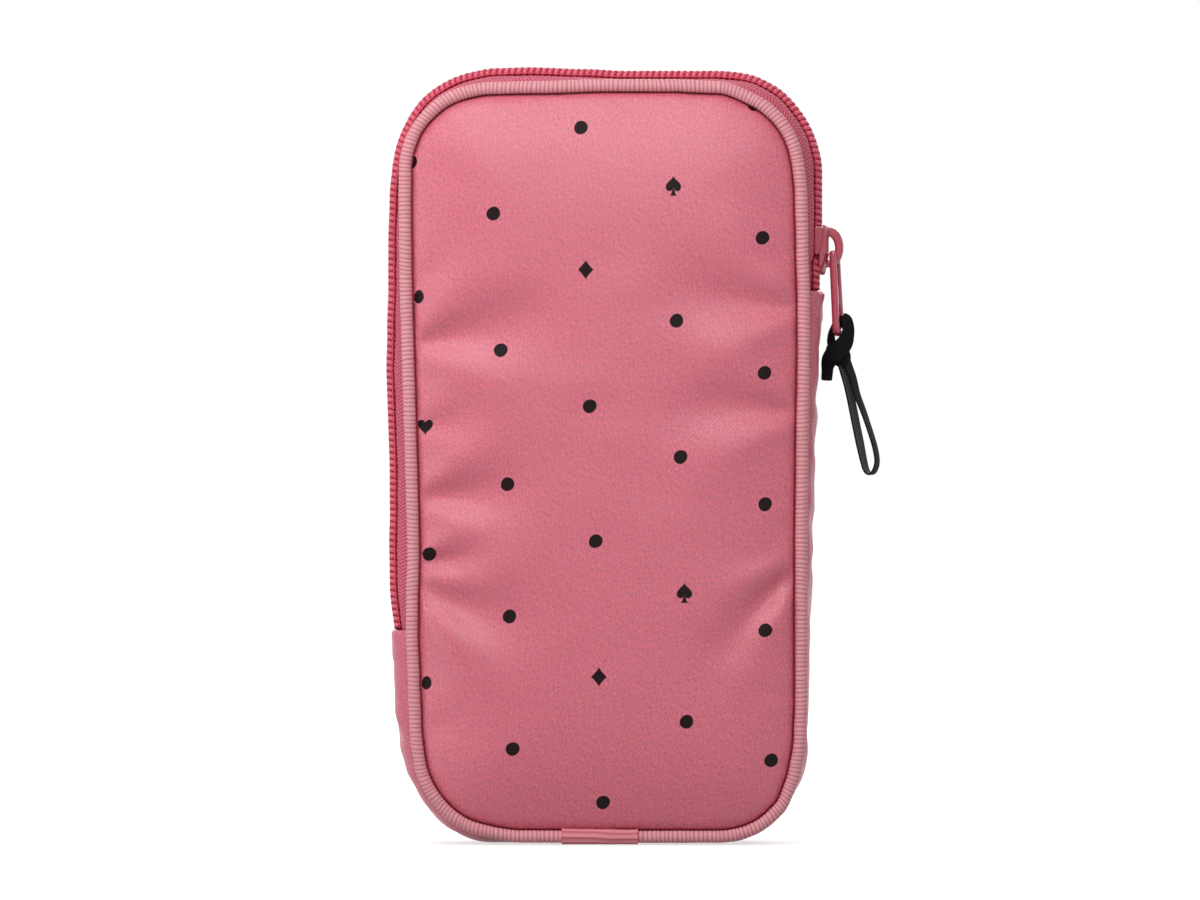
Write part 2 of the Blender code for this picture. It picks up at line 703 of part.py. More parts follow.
def pull_tab(material, collection):
    """The tab: two rails, a bar in the bail, a thin web, and an eye over a round foot."""
    rise = PULL_THICKNESS / 2
    foot_rise = PULL_FOOT_HALF * PULL_FOOT_SHARE
    outer = [(PULL_WINDOW_HALF, rise), (PULL_TOP_HALF - rise / 2, rise), (PULL_TOP_HALF, 0)]
    outer += half_round(PULL_FOOT_HALF, foot_rise, -PULL_DROP + foot_rise, 0, -pi, PULL_ROUND_STEPS)
    outer += [(-PULL_TOP_HALF, 0), (-PULL_TOP_HALF + rise / 2, rise), (-PULL_WINDOW_HALF, rise)]
    outer += half_round(PULL_WINDOW_HALF, rise, -PULL_WINDOW_DROP + rise, pi, 2 * pi,
                        PULL_WINDOW_STEPS)
    eye_rise = PULL_EYE_HALF * PULL_EYE_SHARE
    eye = half_round(PULL_EYE_HALF, eye_rise, -PULL_WEB_DROP - eye_rise, 0, pi, PULL_EYE_STEPS)
    eye += half_round(PULL_EYE_HALF, eye_rise, -PULL_EYE_DROP + eye_rise, pi, 2 * pi,
                      PULL_EYE_STEPS)
    stand = Matrix(((0, 0, 1, 0), (1, 0, 0, 0), (0, 1, 0, 0), (0, 0, 0, 1)))
    tab = outline_plate("pull_tab", [outer, eye], PULL_THICKNESS, stand, material, collection,
                        SLIDER_ROUND)
    bar = rod("bar", PULL_BAR_RADIUS, 2 * PULL_WINDOW_HALF + PULL_THICKNESS, (0, 0, 0),
              Matrix.Rotation(pi / 2, 4, "X"), BAR_SIDES, material, collection)
    fuse(tab, [bar])
    for hand in (-1, 1):
        near, far = sorted((hand * (PULL_THICKNESS / 2 - PULL_RECESS), hand * PULL_THICKNESS))
        cutter = box("recess", (near, -PULL_WINDOW_HALF, -PULL_WEB_DROP + GAP),
                     (far, PULL_WINDOW_HALF, -PULL_WINDOW_DROP - GAP), material, collection)
        boolean(tab, "DIFFERENCE", cutter)
        bpy.context.view_layer.update()
        apply_modifiers(tab)
        bpy.data.objects.remove(cutter, do_unlink=True)
    shade(tab)
    return tab


def strap_pieces(knot_paint, loop_paint, collection):
    """The ribbon's turn through the eye, its knot and tail, and its hanging loop."""
    upright = Matrix(((1, 0, 0, 0), (0, 0, -1, 0), (0, 1, 0, 0), (0, 0, 0, 1)))
    turn = [(TURN_SHIFT + across, up) for across, up in
            half_round(TURN_HALF_ACROSS, TURN_HALF_UP, TURN_RISE, 0, 2 * pi, TURN_STEPS)[:-1]]
    knot = ribbon("strap_knot", turn, True, upright, knot_paint, collection)
    shape = bmesh.new()
    bmesh.ops.create_uvsphere(shape, u_segments=KNOT_SIDES, v_segments=KNOT_STEPS, radius=1)
    for vert in shape.verts:
        vert.co = (vert.co.x * KNOT_HALF_ACROSS, vert.co.y * KNOT_HALF_WIDTH,
                   vert.co.z * KNOT_HALF_UP - KNOT_DROP)
    lump = link("lump", mesh_of(shape, "lump"), knot_paint, collection)
    tail_side = -TAIL_SHIFT - TAIL_WIDTH / 2
    tail_foot = -KNOT_DROP - TAIL_LENGTH
    tail = box("tail", (tail_side, -TAIL_WALL / 2, tail_foot),
               (tail_side + TAIL_WIDTH, TAIL_WALL / 2, -KNOT_DROP), knot_paint, collection)
    fuse(knot, [lump, tail])
    loop_points = [(LOOP_DROP * across, LOOP_DROP * up) for across, up in LOOP_SHARES]
    loop = ribbon("strap_loop", loop_points, False, upright, loop_paint, collection)
    for piece in (knot, loop):
        shade(piece, RIBBON_ANGLE)
    return knot, loop


def hang(name, location, pieces, collection):
    """Hangs pieces on an empty at a pivot, turned as the pull is turned at rest."""
    pivot = bpy.data.objects.new(name, None)
    collection.objects.link(pivot)
    pivot.location = location
    pivot.rotation_euler = (0, -PULL_LEAN, -PULL_TWIST)
    for piece in pieces:
        piece.parent = pivot
    return pivot


def main():
    """Builds every piece."""
    clear_scene()
    pouch = new_collection("pouch")
    tools = new_collection("cutters")
    face = paint("printed_satin", 214, 116, 133, 0.5)
    ribbed = paint("ribbed_piping", 226, 152, 160, 0.7)
    plain = paint("plain_satin", 203, 110, 128, 0.5)
    woven = paint("zip_tape", 212, 110, 130, 0.8)
    teeth = paint("zip_coil", 196, 72, 100, 0.4)
    metal = paint("painted_metal", 178, 76, 94, 0.35, 0.3)
    black = paint("black_ribbon", 30, 28, 30, 0.6)
    foam = paint("padding", 238, 232, 222, 0.9)
    inside = paint("lining", 205, 120, 136, 0.6)
    string = paint("piping_cord", 232, 226, 214, 0.9)
    hem = paint("binding_tape", 190, 100, 118, 0.8)

    cutters = {"above": fold_cutter("above_fold", 1, tools),
               "below": fold_cutter("below_fold", -1, tools)}
    layer_edge = CLOTH_EDGE - LAYER_TUCK
    padding_shift = (CLOTH_WALL + GAP) * LAYER_SPREAD_SHARE
    lining_shift = padding_shift + (PADDING_WALL + GAP) * LAYER_SPREAD_SHARE
    layers = (("panel", CLOTH_EDGE, CLOTH_RING_SHARES, 0, CLOTH_WALL, face),
              ("padding", layer_edge, LAYER_RING_SHARES, padding_shift, PADDING_WALL, foam),
              ("lining", layer_edge, LAYER_RING_SHARES, lining_shift, LINING_WALL, inside))
    for word, edge, rings, shift, wall, material in layers:
        def layer(name, side=-1):
            return crowned_sheet(name, side, edge, rings, shift, wall, material, pouch)
        layer("back_" + word, 1)
        split_front(layer, "front_" + word, cutters)
    trims = (("piping", sleeve, ribbed), ("piping_cord", cord, string), ("binding", binding, hem))
    for word, build, material in trims:
        def trim(name, side=-1):
            return build(name, side, material, pouch)
        trim("back_" + word, 1)
        split_front(trim, "front_" + word, cutters)
    splice("front_piping_splice", -1, ribbed, pouch)
    splice("back_piping_splice", 1, ribbed, pouch)

    right, left = side_share(ZIP_RIGHT_END), 1 - side_share(ZIP_LEFT_END)
    below = shares_between(left, 1 + right)
    side_band("gusset", below, SIDE_PROFILE_SHARES, SIDE_HALF, 0, SIDE_WALL, plain, pouch)
    lining_half = SIDE_HALF - BINDING_THICKNESS - 2 * GAP
    side_band("gusset_lining", below, SIDE_PROFILE_SHARES, lining_half, SIDE_WALL + GAP,
              SIDE_LINING_WALL, inside, pouch)

    stops = chain_stops()
    cut = side_share(FOLD_CHAIN)
    parting = min(range(len(stops)), key=lambda number: abs(stops[number] - cut))
    zip_start, zip_end = right + GAP / ROUND, left - GAP / ROUND
    tape_lift = COIL_HEIGHT + GAP
    half_gap = GAP / 2 / ROUND
    stretches = (("zip_tape_back", 1, zip_start, zip_end),
                 ("zip_tape_front_base", -1, zip_start, stops[parting] - half_gap),
                 ("zip_tape_front_flap", -1, stops[parting] + half_gap, zip_end))
    for name, side, start, end in stretches:
        side_band(name, shares_between(start, end), TAPE_PROFILE_SHARES, SIDE_HALF, tape_lift, TAPE_WALL,
                  woven, pouch, TAPE_EDGE, side)
    last = len(stops) - 1
    for side, word in ((-1, "front"), (1, "back")):
        coil("zip_coil_" + word + "_end", side, stops, 0, parting - 1, teeth, pouch)
        coil("zip_coil_" + word, side, stops, parting, last, teeth, pouch)

    slider_body(metal, pouch)
    slider_bail(metal, pouch)
    tab = pull_tab(metal, pouch)
    pull_pivot = hang("pull_pivot", PIVOT, [tab], tools)
    knot, loop = strap_pieces(black, black, pouch)
    bpy.context.view_layer.update()
    hang("strap_pivot", pull_pivot.matrix_world @ Vector((0, 0, -EYE_BAR)), [knot, loop], tools)


main()
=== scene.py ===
"""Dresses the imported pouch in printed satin, ribbed piping, a coil zip and a knotted ribbon.

Metres, +Z up, the printed front facing -Y and the slider on the +X side. A share is a share of
the way round the outline, from the middle of the bottom and anticlockwise as the front shows it.
side is -1 for a piece at the front and 1 for one at the back.
"""
from math import atan2, ceil, cos, hypot, pi, radians, sin

import bmesh
import bpy
import numpy as np
from mathutils import Euler, Matrix, Vector
from mathutils.geometry import delaunay_2d_cdt
from mathutils.kdtree import KDTree

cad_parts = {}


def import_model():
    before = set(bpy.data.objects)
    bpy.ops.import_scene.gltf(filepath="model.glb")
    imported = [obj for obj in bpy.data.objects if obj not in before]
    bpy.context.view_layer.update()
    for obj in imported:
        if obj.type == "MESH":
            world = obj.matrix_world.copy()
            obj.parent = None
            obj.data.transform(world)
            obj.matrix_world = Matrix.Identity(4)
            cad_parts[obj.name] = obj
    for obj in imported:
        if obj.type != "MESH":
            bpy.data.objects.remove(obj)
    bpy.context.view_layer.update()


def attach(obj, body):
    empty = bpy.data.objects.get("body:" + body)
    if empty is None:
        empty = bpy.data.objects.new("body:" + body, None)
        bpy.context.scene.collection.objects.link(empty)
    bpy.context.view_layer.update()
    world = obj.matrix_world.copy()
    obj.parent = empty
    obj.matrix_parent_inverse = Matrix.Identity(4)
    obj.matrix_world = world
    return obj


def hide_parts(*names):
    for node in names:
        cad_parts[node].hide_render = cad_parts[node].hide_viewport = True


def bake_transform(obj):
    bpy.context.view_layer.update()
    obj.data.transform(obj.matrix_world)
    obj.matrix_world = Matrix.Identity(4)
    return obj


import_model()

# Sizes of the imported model
GAP = 0.0003
HALF_WIDTH = 0.0511
HEIGHT = 0.1904
CORNER_RADIUS = 0.023
LEFT_SLACK = 0.0021
SLACK_FULL_SHARE = 0.3
SLACK_GONE_SHARE = 0.82
PIPING_RADIUS = 0.00155
SPLICE_WALL = 0.0003
SPLICE_LIFT = 0.00005
SPLICE_LEFT = 0.01125
SPLICE_RIGHT = 0.00825
HALF_DEPTH = 0.0145
ZIP_BULGE = 0.0034
SIDE_WALL = 0.0009
SIDE_LINING_WALL = 0.0005
SEAM_DROP = 0.0018
CLOTH_WALL = 0.0009
PADDING_WALL = 0.0024
LINING_WALL = 0.0005
CROWN = 0.006
SEAM_TUCK = 0.0002
LAYER_TUCK = 0.004
LAYER_SPREAD_SHARE = 1.18
BINDING_WIDTH = 0.0034
BINDING_THICKNESS = 0.0016
ZIP_RIGHT_DROP = 0.05265
ZIP_LEFT_DROP = 0.13765
TAPE_WALL = 0.0005
COIL_HEIGHT = 0.0021
COIL_HALF_WIDTH = 0.0029
TOOTH_PITCH = 0.00157
SLIDER_LENGTH = 0.0127
SLIDER_STAND = 0.004
SLIDER_HALF_WIDTH = 0.0046
SLIDER_OUTER_PLATE = 0.0014
SLIDER_INNER_PLATE = 0.0011
SLIDER_SIDE_WALL = 0.0011
SLIDER_SIDE_SHARE = 0.59
SLIDER_POST_RADIUS = 0.0008
SLIDER_POST_STAND = 0.0019
SLIDER_POST_RUN = 0.0032
BAIL_REACH = 0.0038
BAIL_RISE = 0.0052
BAIL_HOLE_RISE = 0.0029
BAIL_HALF_WIDTH = 0.0009
BAIL_MIDDLE = 0.0068
PULL_BAR_RADIUS = 0.00055
PULL_WINDOW_HALF = 0.0019
PULL_TOP_HALF = 0.0031
PULL_FOOT_HALF = 0.0037
PULL_THICKNESS = 0.0014
PULL_DROP = 0.0209
PULL_WINDOW_DROP = 0.0077
PULL_WEB_DROP = 0.0125
PULL_EYE_HALF = 0.0023
PULL_EYE_DROP = 0.0189
PULL_TWIST = radians(12)
PULL_LEAN = radians(3)
RIBBON_WIDTH = 0.004

# What follows from them
FOOT = GAP + SPLICE_WALL + SPLICE_LIFT
ZIP_RIGHT_END = FOOT + HEIGHT - ZIP_RIGHT_DROP
ZIP_LEFT_END = FOOT + HEIGHT - ZIP_LEFT_DROP
CLOTH_EDGE = -2 * PIPING_RADIUS - GAP
CROWN_REACH = CORNER_RADIUS + CLOTH_EDGE - 0.0006
SIDE_HALF = HALF_DEPTH - PIPING_RADIUS - GAP
CLOTH_EDGE_DEPTH = HALF_DEPTH - SEAM_TUCK
CHAIN_X = HALF_WIDTH + ZIP_BULGE
TAPE_EDGE = SLIDER_POST_RADIUS + GAP
ACROSS = HALF_WIDTH - CORNER_RADIUS
UPRIGHT = HEIGHT - 2 * CORNER_RADIUS
ARC = CORNER_RADIUS * pi / 2
ROUND = 4 * ACROSS + 2 * UPRIGHT + 4 * ARC
SLIDER_FOOT = ZIP_RIGHT_END + SLIDER_STAND
PLATE_TOP = CHAIN_X + GAP + SLIDER_OUTER_PLATE
PIVOT_HEIGHT = SLIDER_FOOT + BAIL_MIDDLE - BAIL_HOLE_RISE + 3 * GAP + PULL_BAR_RADIUS
PIVOT = Vector((PLATE_TOP + 3 * GAP + PULL_BAR_RADIUS, 0, PIVOT_HEIGHT))
HANG = Euler((0, -PULL_LEAN, -PULL_TWIST)).to_matrix().to_4x4()
PULL = Matrix.Translation(PIVOT) @ HANG
STRAP = Matrix.Translation(PULL @ Vector((0, 0, -(PULL_EYE_DROP + PULL_DROP) / 2))) @ HANG

# Sizes of this scene alone
CROWN_SPAN = 0.034
CROWN_LIP = 0.001
CROWN_LIP_REACH = 0.0004
LIP_ROW = 0.00045
BORDER_STEP = 0.0011
FACE_STEP = 0.0016
PADDING_STEP = 0.003
LINING_STEP = 0.0022
SIDE_STEP = 0.0009
ZIP_STEP = 0.0006
SLEEVE_RINGS = 4040
STRIP_RINGS = 520
CORD_RINGS = 1200
BINDING_RINGS = 700
PRINT_REACH = 0.004
PRINT_ROOM = 0.0003
PINNED_SHARE = 0.03
SWELL_CAP = 0.0012
SWELL_SMOOTHING = 30
SWELL_SCALE = 10.0
SWELL_FRAMES = 20
RIPPLE = 0.00025
SEAM_PUCKER = 0.00008
SIDE_RIPPLE = 0.0004
HEM_UNDER = 0.0012
HEM_RISE = 0.00045
HEM_LIP = 0.0006
VALLEY = 0.0006
KNOT_ROOM = 0.0008
PATCH_RIDGE = 0.00011
PATCH_LIP = 0.00012
RIB_PITCH = 0.00107
CORD_PLAY = 0.00065
CORD_TURNS = 140
COIL_RISE = 0.0023
END_SINK = 0.0005
COIL_SINK = 0.0006
TAPE_SINK = 0.0007
TAPE_LIE = 0.0002
ROWS_APART = SLIDER_POST_RADIUS + GAP + 0.0004
COIL_WIRE = 0.00043
COIL_HEAD = COIL_WIRE - 0.00036
COIL_HALF_REACH = (COIL_HALF_WIDTH + 0.0004) / 2 - COIL_WIRE
TURN_POINTS = 18
# Each line of stitches: its share of the coil's reach, how far past, its height, its swing
STITCH_LANES = (0.62, 0, 1.0, 0.00016), (1.02, COIL_WIRE, 0.42, 0.00012)
PLATE_TURN = 0.0011
PLATE_FALL = 0.00105
RIBBON_WALL = 0.00045
KNOT_HALF_SIZES = 0.0027, 0.0021, 0.0037
FRAY = 0.00022
PHOTO_PIXEL = 0.00025125
VIEW_X = -0.00125
WORLD_LIGHT = 0.24

# Millimetres that the seam stands out from the even outline, at shares of the way round
SEAM_SHIFTS = (
    (0.0, 0.35), (0.07, 0.3), (0.085, -0.1), (0.1, -1.2), (0.11, -1.45), (0.125, -0.75),
    (0.14, -0.45), (0.21, -0.45), (0.25, -0.25), (0.3, 0.15), (0.32, 0.15), (0.35, -0.25),
    (0.37, -0.5), (0.39, -1.3), (0.43, -1.3), (0.45, -0.2), (0.47, 0.25), (0.5, 0.25),
    (0.53, -0.2), (0.56, -0.5), (0.58, 0.05), (0.6, 0.4), (0.63, 0.5), (0.66, 0.4), (0.7, 0.3),
    (0.79, 0.3), (0.815, 0.75), (0.83, 0.8), (0.85, 0.35), (0.87, -0.05), (0.89, -1.0),
    (0.91, -1.25), (0.94, -0.95), (0.96, 0.25), (1.0, 0.35))
# Millimetres that the middle of the side stands out from the same outline
CREST = (
    (0.0, 0.65), (0.065, 0.65), (0.08, 0.4), (0.1, -0.5), (0.11, -0.6), (0.13, 0.0), (0.15, 0.05),
    (0.18, 0.5), (0.2, 0.75), (0.21, 1.25), (0.22, 0.9), (0.23, 1.5), (0.24, 1.3), (0.255, 1.65),
    (0.27, 2.2), (0.28, 2.05), (0.293, 2.9), (0.31, 3.4), (0.325, 3.4), (0.385, 3.4),
    (0.395, 3.2), (0.41, 3.15), (0.42, 3.3), (0.43, 3.15), (0.445, 2.6), (0.49, 2.6),
    (0.51, 3.05), (0.535, 3.5), (0.55, 3.25), (0.56, 2.85), (0.58, 2.75), (0.6, 2.15),
    (0.61, 2.15), (0.63, 2.95), (0.65, 3.3), (0.67, 3.45), (0.69, 4.0), (0.71, 4.5), (0.75, 4.5),
    (0.77, 4.75), (0.79, 5.2), (0.81, 5.2), (0.84, 4.1), (0.865, 3.75), (0.88, 2.5), (0.89, 1.3),
    (0.9, 0.65), (0.93, 0.7), (0.95, 0.6), (1.0, 0.65))


# ---- the outline
def ease(low, high, value):
    part = np.clip((value - low) / (high - low), 0, 1)
    return part * part * (3 - 2 * part)


def read_table(table, share):
    """A table's value in metres at shares of the way round, eased from row to row."""
    share = np.mod(np.asarray(share, float), 1)
    value = np.full(share.shape, float(table[-1][1]))
    for (low, start), (high, end) in reversed(list(zip(table, table[1:]))):
        value = np.where(share <= high, start + (end - start) * ease(low, high, share), value)
    return value / 1000


def bulge(share):
    """How far the middle of the side stands out from the seam's outline."""
    return read_table(CREST, share) - read_table(SEAM_SHIFTS, share)


def wobble(value, seed, octaves=4):
    """Smooth, repeatable unevenness from about -1 to 1; value counts waves."""
    value = np.asarray(value, float)
    total = np.zeros(value.shape)
    for step in range(octaves):
        pace = 1 + step * 0.73 + 0.19 * sin(seed * 3.1 + step)
        total += np.sin(2 * pi * value * pace + seed * 5.3 + step * 2.17) / (1 + 0.6 * step)
    return total / sum(1 / (1 + 0.6 * step) for step in range(octaves)) * 1.3


def place(share, grow):
    """x and z of points at shares of the way round, grown out from the piping's outside."""
    share, grow = np.broadcast_arrays(np.mod(np.asarray(share, float), 1), grow)
    left = share * ROUND
    x, z, heading = np.zeros(share.shape), np.full(share.shape, FOOT + CORNER_RADIUS), 0.0
    runs = (ACROSS, ARC, UPRIGHT, ARC, 2 * ACROSS, ARC, UPRIGHT, ARC, ACROSS)
    for number, run in enumerate(runs):
        part = np.minimum(left, run)
        left = left - part
        if number % 2:
            heading = heading + part / CORNER_RADIUS
        else:
            x = x + part * np.cos(heading)
            z = z + part * np.sin(heading)
    out = CORNER_RADIUS + grow + read_table(SEAM_SHIFTS, share)
    x = x + out * np.sin(heading)
    z = z - out * np.cos(heading)
    drawn = 1 - ease(SLACK_FULL_SHARE * HEIGHT, SLACK_GONE_SHARE * HEIGHT, z)
    return np.where(x < 0, x * (1 - LEFT_SLACK / HALF_WIDTH * drawn), x), z


def spots(x, y, z):
    """Points from three arrays or numbers that fit each other."""
    return np.stack(np.broadcast_arrays(x, y, z), axis=-1)


def around(share, grow, depth):
    """Points at shares of the way round, at a growth and a depth."""
    x, z = place(share, grow)
    return spots(x, depth, z)


def side_share(height):
    """The share at a height on the right side's straight stretch."""
    return (ACROSS + ARC + height - FOOT - CORNER_RADIUS) / ROUND


def spread(start, end, step):
    """Shares from start to end, about step metres apart."""
    return np.linspace(start, end, max(2, ceil((end - start) * ROUND / step) + 1))


def ring_shares(count):
    return np.linspace(0, 1, count, endpoint=False)


# ---- meshes
def add(name, data):
    piece = bpy.data.objects.new(name, data)
    bpy.context.scene.collection.objects.link(piece)
    return piece


def make(name, points, faces, uvs, materials, slots=0):
    """A smooth piece from points, faces, a uv for each corner and a material slot for each face."""
    mesh = bpy.data.meshes.new(name)
    mesh.from_pydata([tuple(point) for point in points], [], [tuple(face) for face in faces])
    layer = mesh.uv_layers.new(name="UVMap")
    layer.data.foreach_set("uv", np.asarray(uvs, np.float32).ravel())
    for paint in materials:
        mesh.materials.append(paint)
    slots = (np.zeros(len(faces)) + slots).astype(np.int32)
    mesh.polygons.foreach_set("material_index", slots)
    mesh.polygons.foreach_set("use_smooth", np.ones(len(faces), bool))
    mesh.update()
    return add(name, mesh)


def evaluated_mesh(piece):
    """The mesh of a piece with its modifiers in it."""
    graph = bpy.context.evaluated_depsgraph_get()
    graph.update()
    return bpy.data.meshes.new_from_object(piece.evaluated_get(graph))


def volume(points, groups):
    """Six times the volume in groups of faces; below 0 where they face in."""
    total = 0.0
    for faces, _ in groups:
        for step in range(1, faces.shape[1] - 1):
            far = np.cross(points[faces[:, step]], points[faces[:, step + 1]])
            total += np.einsum("ij,ij->", points[faces[:, 0]], far)
    return total


def grid(rings, along, across, closed=False, slot=0):
    """A solid from rings of points, as its points, faces, corner uvs and material slot.

    along and across are its uvs: values at the points, with one more where that way closes, or
    one length that is shared out. Without closed, it gets an end face at each end.
    """
    rows, columns = rings.shape[:2]
    points = rings.reshape(-1, 3)
    if np.isscalar(along):
        along = np.linspace(0, along, rows + closed)
    if np.isscalar(across):
        across = np.linspace(0, across, columns + 1)
    along = along[:, None] if along.ndim == 1 else along
    uvs = np.stack(np.broadcast_arrays(along, across), axis=-1)
    i, j = (index.ravel() for index in np.indices((rows if closed else rows - 1, columns)))
    corners = ((i, j), (i, j + 1), (i + 1, j + 1), (i + 1, j))
    groups = [(np.stack([a % rows * columns + b % columns for a, b in corners], axis=1),
               np.stack([uvs[a, b] for a, b in corners], axis=1))]
    if not closed:
        ring = np.arange(columns)
        groups.append((ring[None, ::-1], uvs[None, 0, ring[::-1]]))
        groups.append(((rows - 1) * columns + ring[None], uvs[None, rows - 1, ring]))
    order = -1 if volume(points, groups) < 0 else 1
    faces = [face for some, _ in groups for face in some[:, ::order].tolist()]
    marks = np.concatenate([mark[:, ::order].reshape(-1, 2) for _, mark in groups])
    return points, faces, marks, slot


def assemble(name, parts, materials):
    """One piece from several grids."""
    faces, slots, base = [], [], 0
    for points, some, _, slot in parts:
        faces += [[spot + base for spot in face] for face in some]
        slots += [slot] * len(some)
        base += len(points)
    points, marks = (np.concatenate([part[item] for part in parts]) for item in (0, 2))
    return make(name, points, faces, marks, materials, slots)


def path_length(points):
    """How far along its path each point lies."""
    return np.concatenate([[0], np.cumsum(np.linalg.norm(np.diff(points, axis=0), axis=1))])


def smooth_path(points, count):
    """A Catmull-Rom curve through points, in count even steps."""
    points = np.asarray(points, float)
    ends = 2 * points[0] - points[1], 2 * points[-1] - points[-2]
    padded = np.concatenate([[ends[0]], points, [ends[1]]])
    fine = []
    for spot in range(1, len(padded) - 2):
        a, b, c, d = padded[spot - 1:spot + 3]
        for t in np.linspace(0, 1, 24, endpoint=False):
            fine.append(0.5 * (2 * b + (c - a) * t + (2 * a - 5 * b + 4 * c - d) * t * t
                               + (3 * b - a - 3 * c + d) * t ** 3))
    fine = np.array(fine + [padded[-2]])
    along = path_length(fine)
    at = np.linspace(0, along[-1], count)
    return np.stack([np.interp(at, along, fine[:, axis]) for axis in range(3)], axis=1)


def unit(rows):
    return rows / np.linalg.norm(rows, axis=1)[:, None]


def headings(path):
    return unit(np.gradient(path, axis=0))


def lay(path, out, across, section, scales=np.ones((1, 2))):
    """A section at each point of a path, its two axes along out and across, scaled by row."""
    lie = section[None] * scales[:, None]
    return path[:, None] + out[:, None] * lie[..., :1] + across[:, None] * lie[..., 1:]


def sweep(path, facing, section, scales=np.ones((1, 2))):
    """A section carried square to a path, its first axis turned to facing."""
    heading = headings(path)
    out = np.broadcast_to(facing, path.shape)
    out = unit(out - np.einsum("ij,ij->i", out, heading)[:, None] * heading)
    return lay(path, out, np.cross(heading, out), section, scales)


def apply(matrix, points):
    matrix = np.array(matrix, float)
    return points @ matrix[:3, :3].T + matrix[:3, 3]


def oval(half_out, half_across, count, power=2.0):
    """A rounded section: power 2 is an ellipse, more is squarer."""
    angle = np.linspace(0, 2 * pi, count, endpoint=False)
    c, s = np.cos(angle), np.sin(angle)
    return np.stack([half_out * np.sign(c) * np.abs(c) ** (2 / power),
                     half_across * np.sign(s) * np.abs(s) ** (2 / power)], axis=1)


# ---- materials: uvs are metres, and in the piping u counts its ribs
def node(tree, kind, inputs=None, **settings):
    made = tree.nodes.new(kind)
    for key, value in settings.items():
        setattr(made, key, value)
    for key, value in (inputs or {}).items():
        if isinstance(value, bpy.types.NodeSocket):
            tree.links.new(value, made.inputs[key])
        else:
            made.inputs[key].default_value = value
    return made


def rgb(*levels):
    """A colour from sRGB levels of 0 to 255."""
    shares = [level / 255 for level in levels]
    return tuple(share / 12.92 if share <= 0.04045 else ((share + 0.055) / 1.055) ** 2.4
                 for share in shares) + (1,)


def shade(colour, amount):
    return tuple(min(1, channel * amount) for channel in colour[:3]) + (1,)


def start_paint(name, roughness, specular=0.5, sheen=0.0, sheen_roughness=0.4,
                sheen_tint=(1, 1, 1, 1), coat=0.0, coat_roughness=0.15):
    paint = bpy.data.materials.new(name)
    paint.use_nodes = True
    shader = paint.node_tree.nodes["Principled BSDF"]
    for key, value in (("Roughness", roughness), ("Specular IOR Level", specular),
                       ("Sheen Weight", sheen), ("Sheen Roughness", sheen_roughness),
                       ("Sheen Tint", sheen_tint), ("Coat Weight", coat),
                       ("Coat Roughness", coat_roughness)):
        shader.inputs[key].default_value = value
    return paint, paint.node_tree, shader


def finish_paint(tree, shader, colour, bumps, roughness=None):
    """Joins a colour, bumps (height, strength, distance) and perhaps a roughness to the shader."""
    tree.links.new(colour, shader.inputs["Base Color"])
    if roughness is not None:
        tree.links.new(roughness, shader.inputs["Roughness"])
    below = {}
    for height, strength, distance in bumps:
        inputs = {"Height": height, "Strength": strength, "Distance": distance, **below}
        below = {"Normal": node(tree, "ShaderNodeBump", inputs).outputs["Normal"]}
    tree.links.new(below["Normal"], shader.inputs["Normal"])


def uv_of(tree):
    return node(tree, "ShaderNodeUVMap", uv_map="UVMap").outputs["UV"]


def mapped(tree, vector, scale=(1, 1, 1), turn=0):
    """A vector turned by degrees in its plane, after its scale."""
    return node(tree, "ShaderNodeMapping", {
        "Vector": vector, "Scale": scale, "Rotation": (0, 0, radians(turn))}).outputs["Vector"]


def noise(tree, vector, scale, detail, roughness=0.5):
    return node(tree, "ShaderNodeTexNoise", {
        "Vector": vector, "Scale": scale, "Detail": detail, "Roughness": roughness}).outputs["Fac"]


def wave(tree, vector, scale, distortion=0.0, detail=0.0, profile="SIN", direction="X"):
    return node(tree, "ShaderNodeTexWave", {
        "Vector": vector, "Scale": scale, "Distortion": distortion, "Detail": detail,
        "Detail Scale": 2.0}, wave_type="BANDS", bands_direction=direction,
        wave_profile=profile).outputs["Fac"]


def mix(tree, factor, first, second):
    return node(tree, "ShaderNodeMix", {0: factor, 6: first, 7: second},
                data_type="RGBA").outputs[2]


def maths(tree, operation, first, second=0.0):
    return node(tree, "ShaderNodeMath", {0: first, 1: second}, operation=operation).outputs[0]


def ranged(tree, value, low, high, start=0.0, end=1.0):
    """Turns a value from start to end into one from low to high."""
    return node(tree, "ShaderNodeMapRange", {
        "Value": value, "From Min": start, "From Max": end, "To Min": low, "To Max": high,
    }).outputs["Result"]


def satin(name, light, deep, gloss=0.85, sheen=0.06):
    """Satin twill: fine diagonal strokes rising to the right, with a soft sheen."""
    paint, tree, shader = start_paint(name, 0.45, gloss, sheen, 0.35, (1.0, 0.86, 0.88, 1))
    uv = uv_of(tree)
    lines = wave(tree, mapped(tree, uv, turn=36), 560, 1.1, 1.5)
    cross = wave(tree, mapped(tree, uv, turn=-54), 1150, 0.6)
    streak = noise(tree, mapped(tree, mapped(tree, uv, turn=33), (3600, 1100, 1)), 1.0, 2)
    tone = mix(tree, ranged(tree, noise(tree, uv, 28, 3), 0.2, 0.8), deep, light)
    tone = mix(tree, ranged(tree, lines, 0.0, 0.42), tone, shade(deep, 0.6))
    tone = mix(tree, ranged(tree, streak, -1.0, 1.7), tone, shade(light, 1.55))
    bumps = (lines, 0.5, 0.0001), (cross, 0.2, 0.00006), (streak, 0.45, 0.00008)
    finish_paint(tree, shader, tone, bumps, ranged(tree, streak, 0.32, 0.5))
    return paint


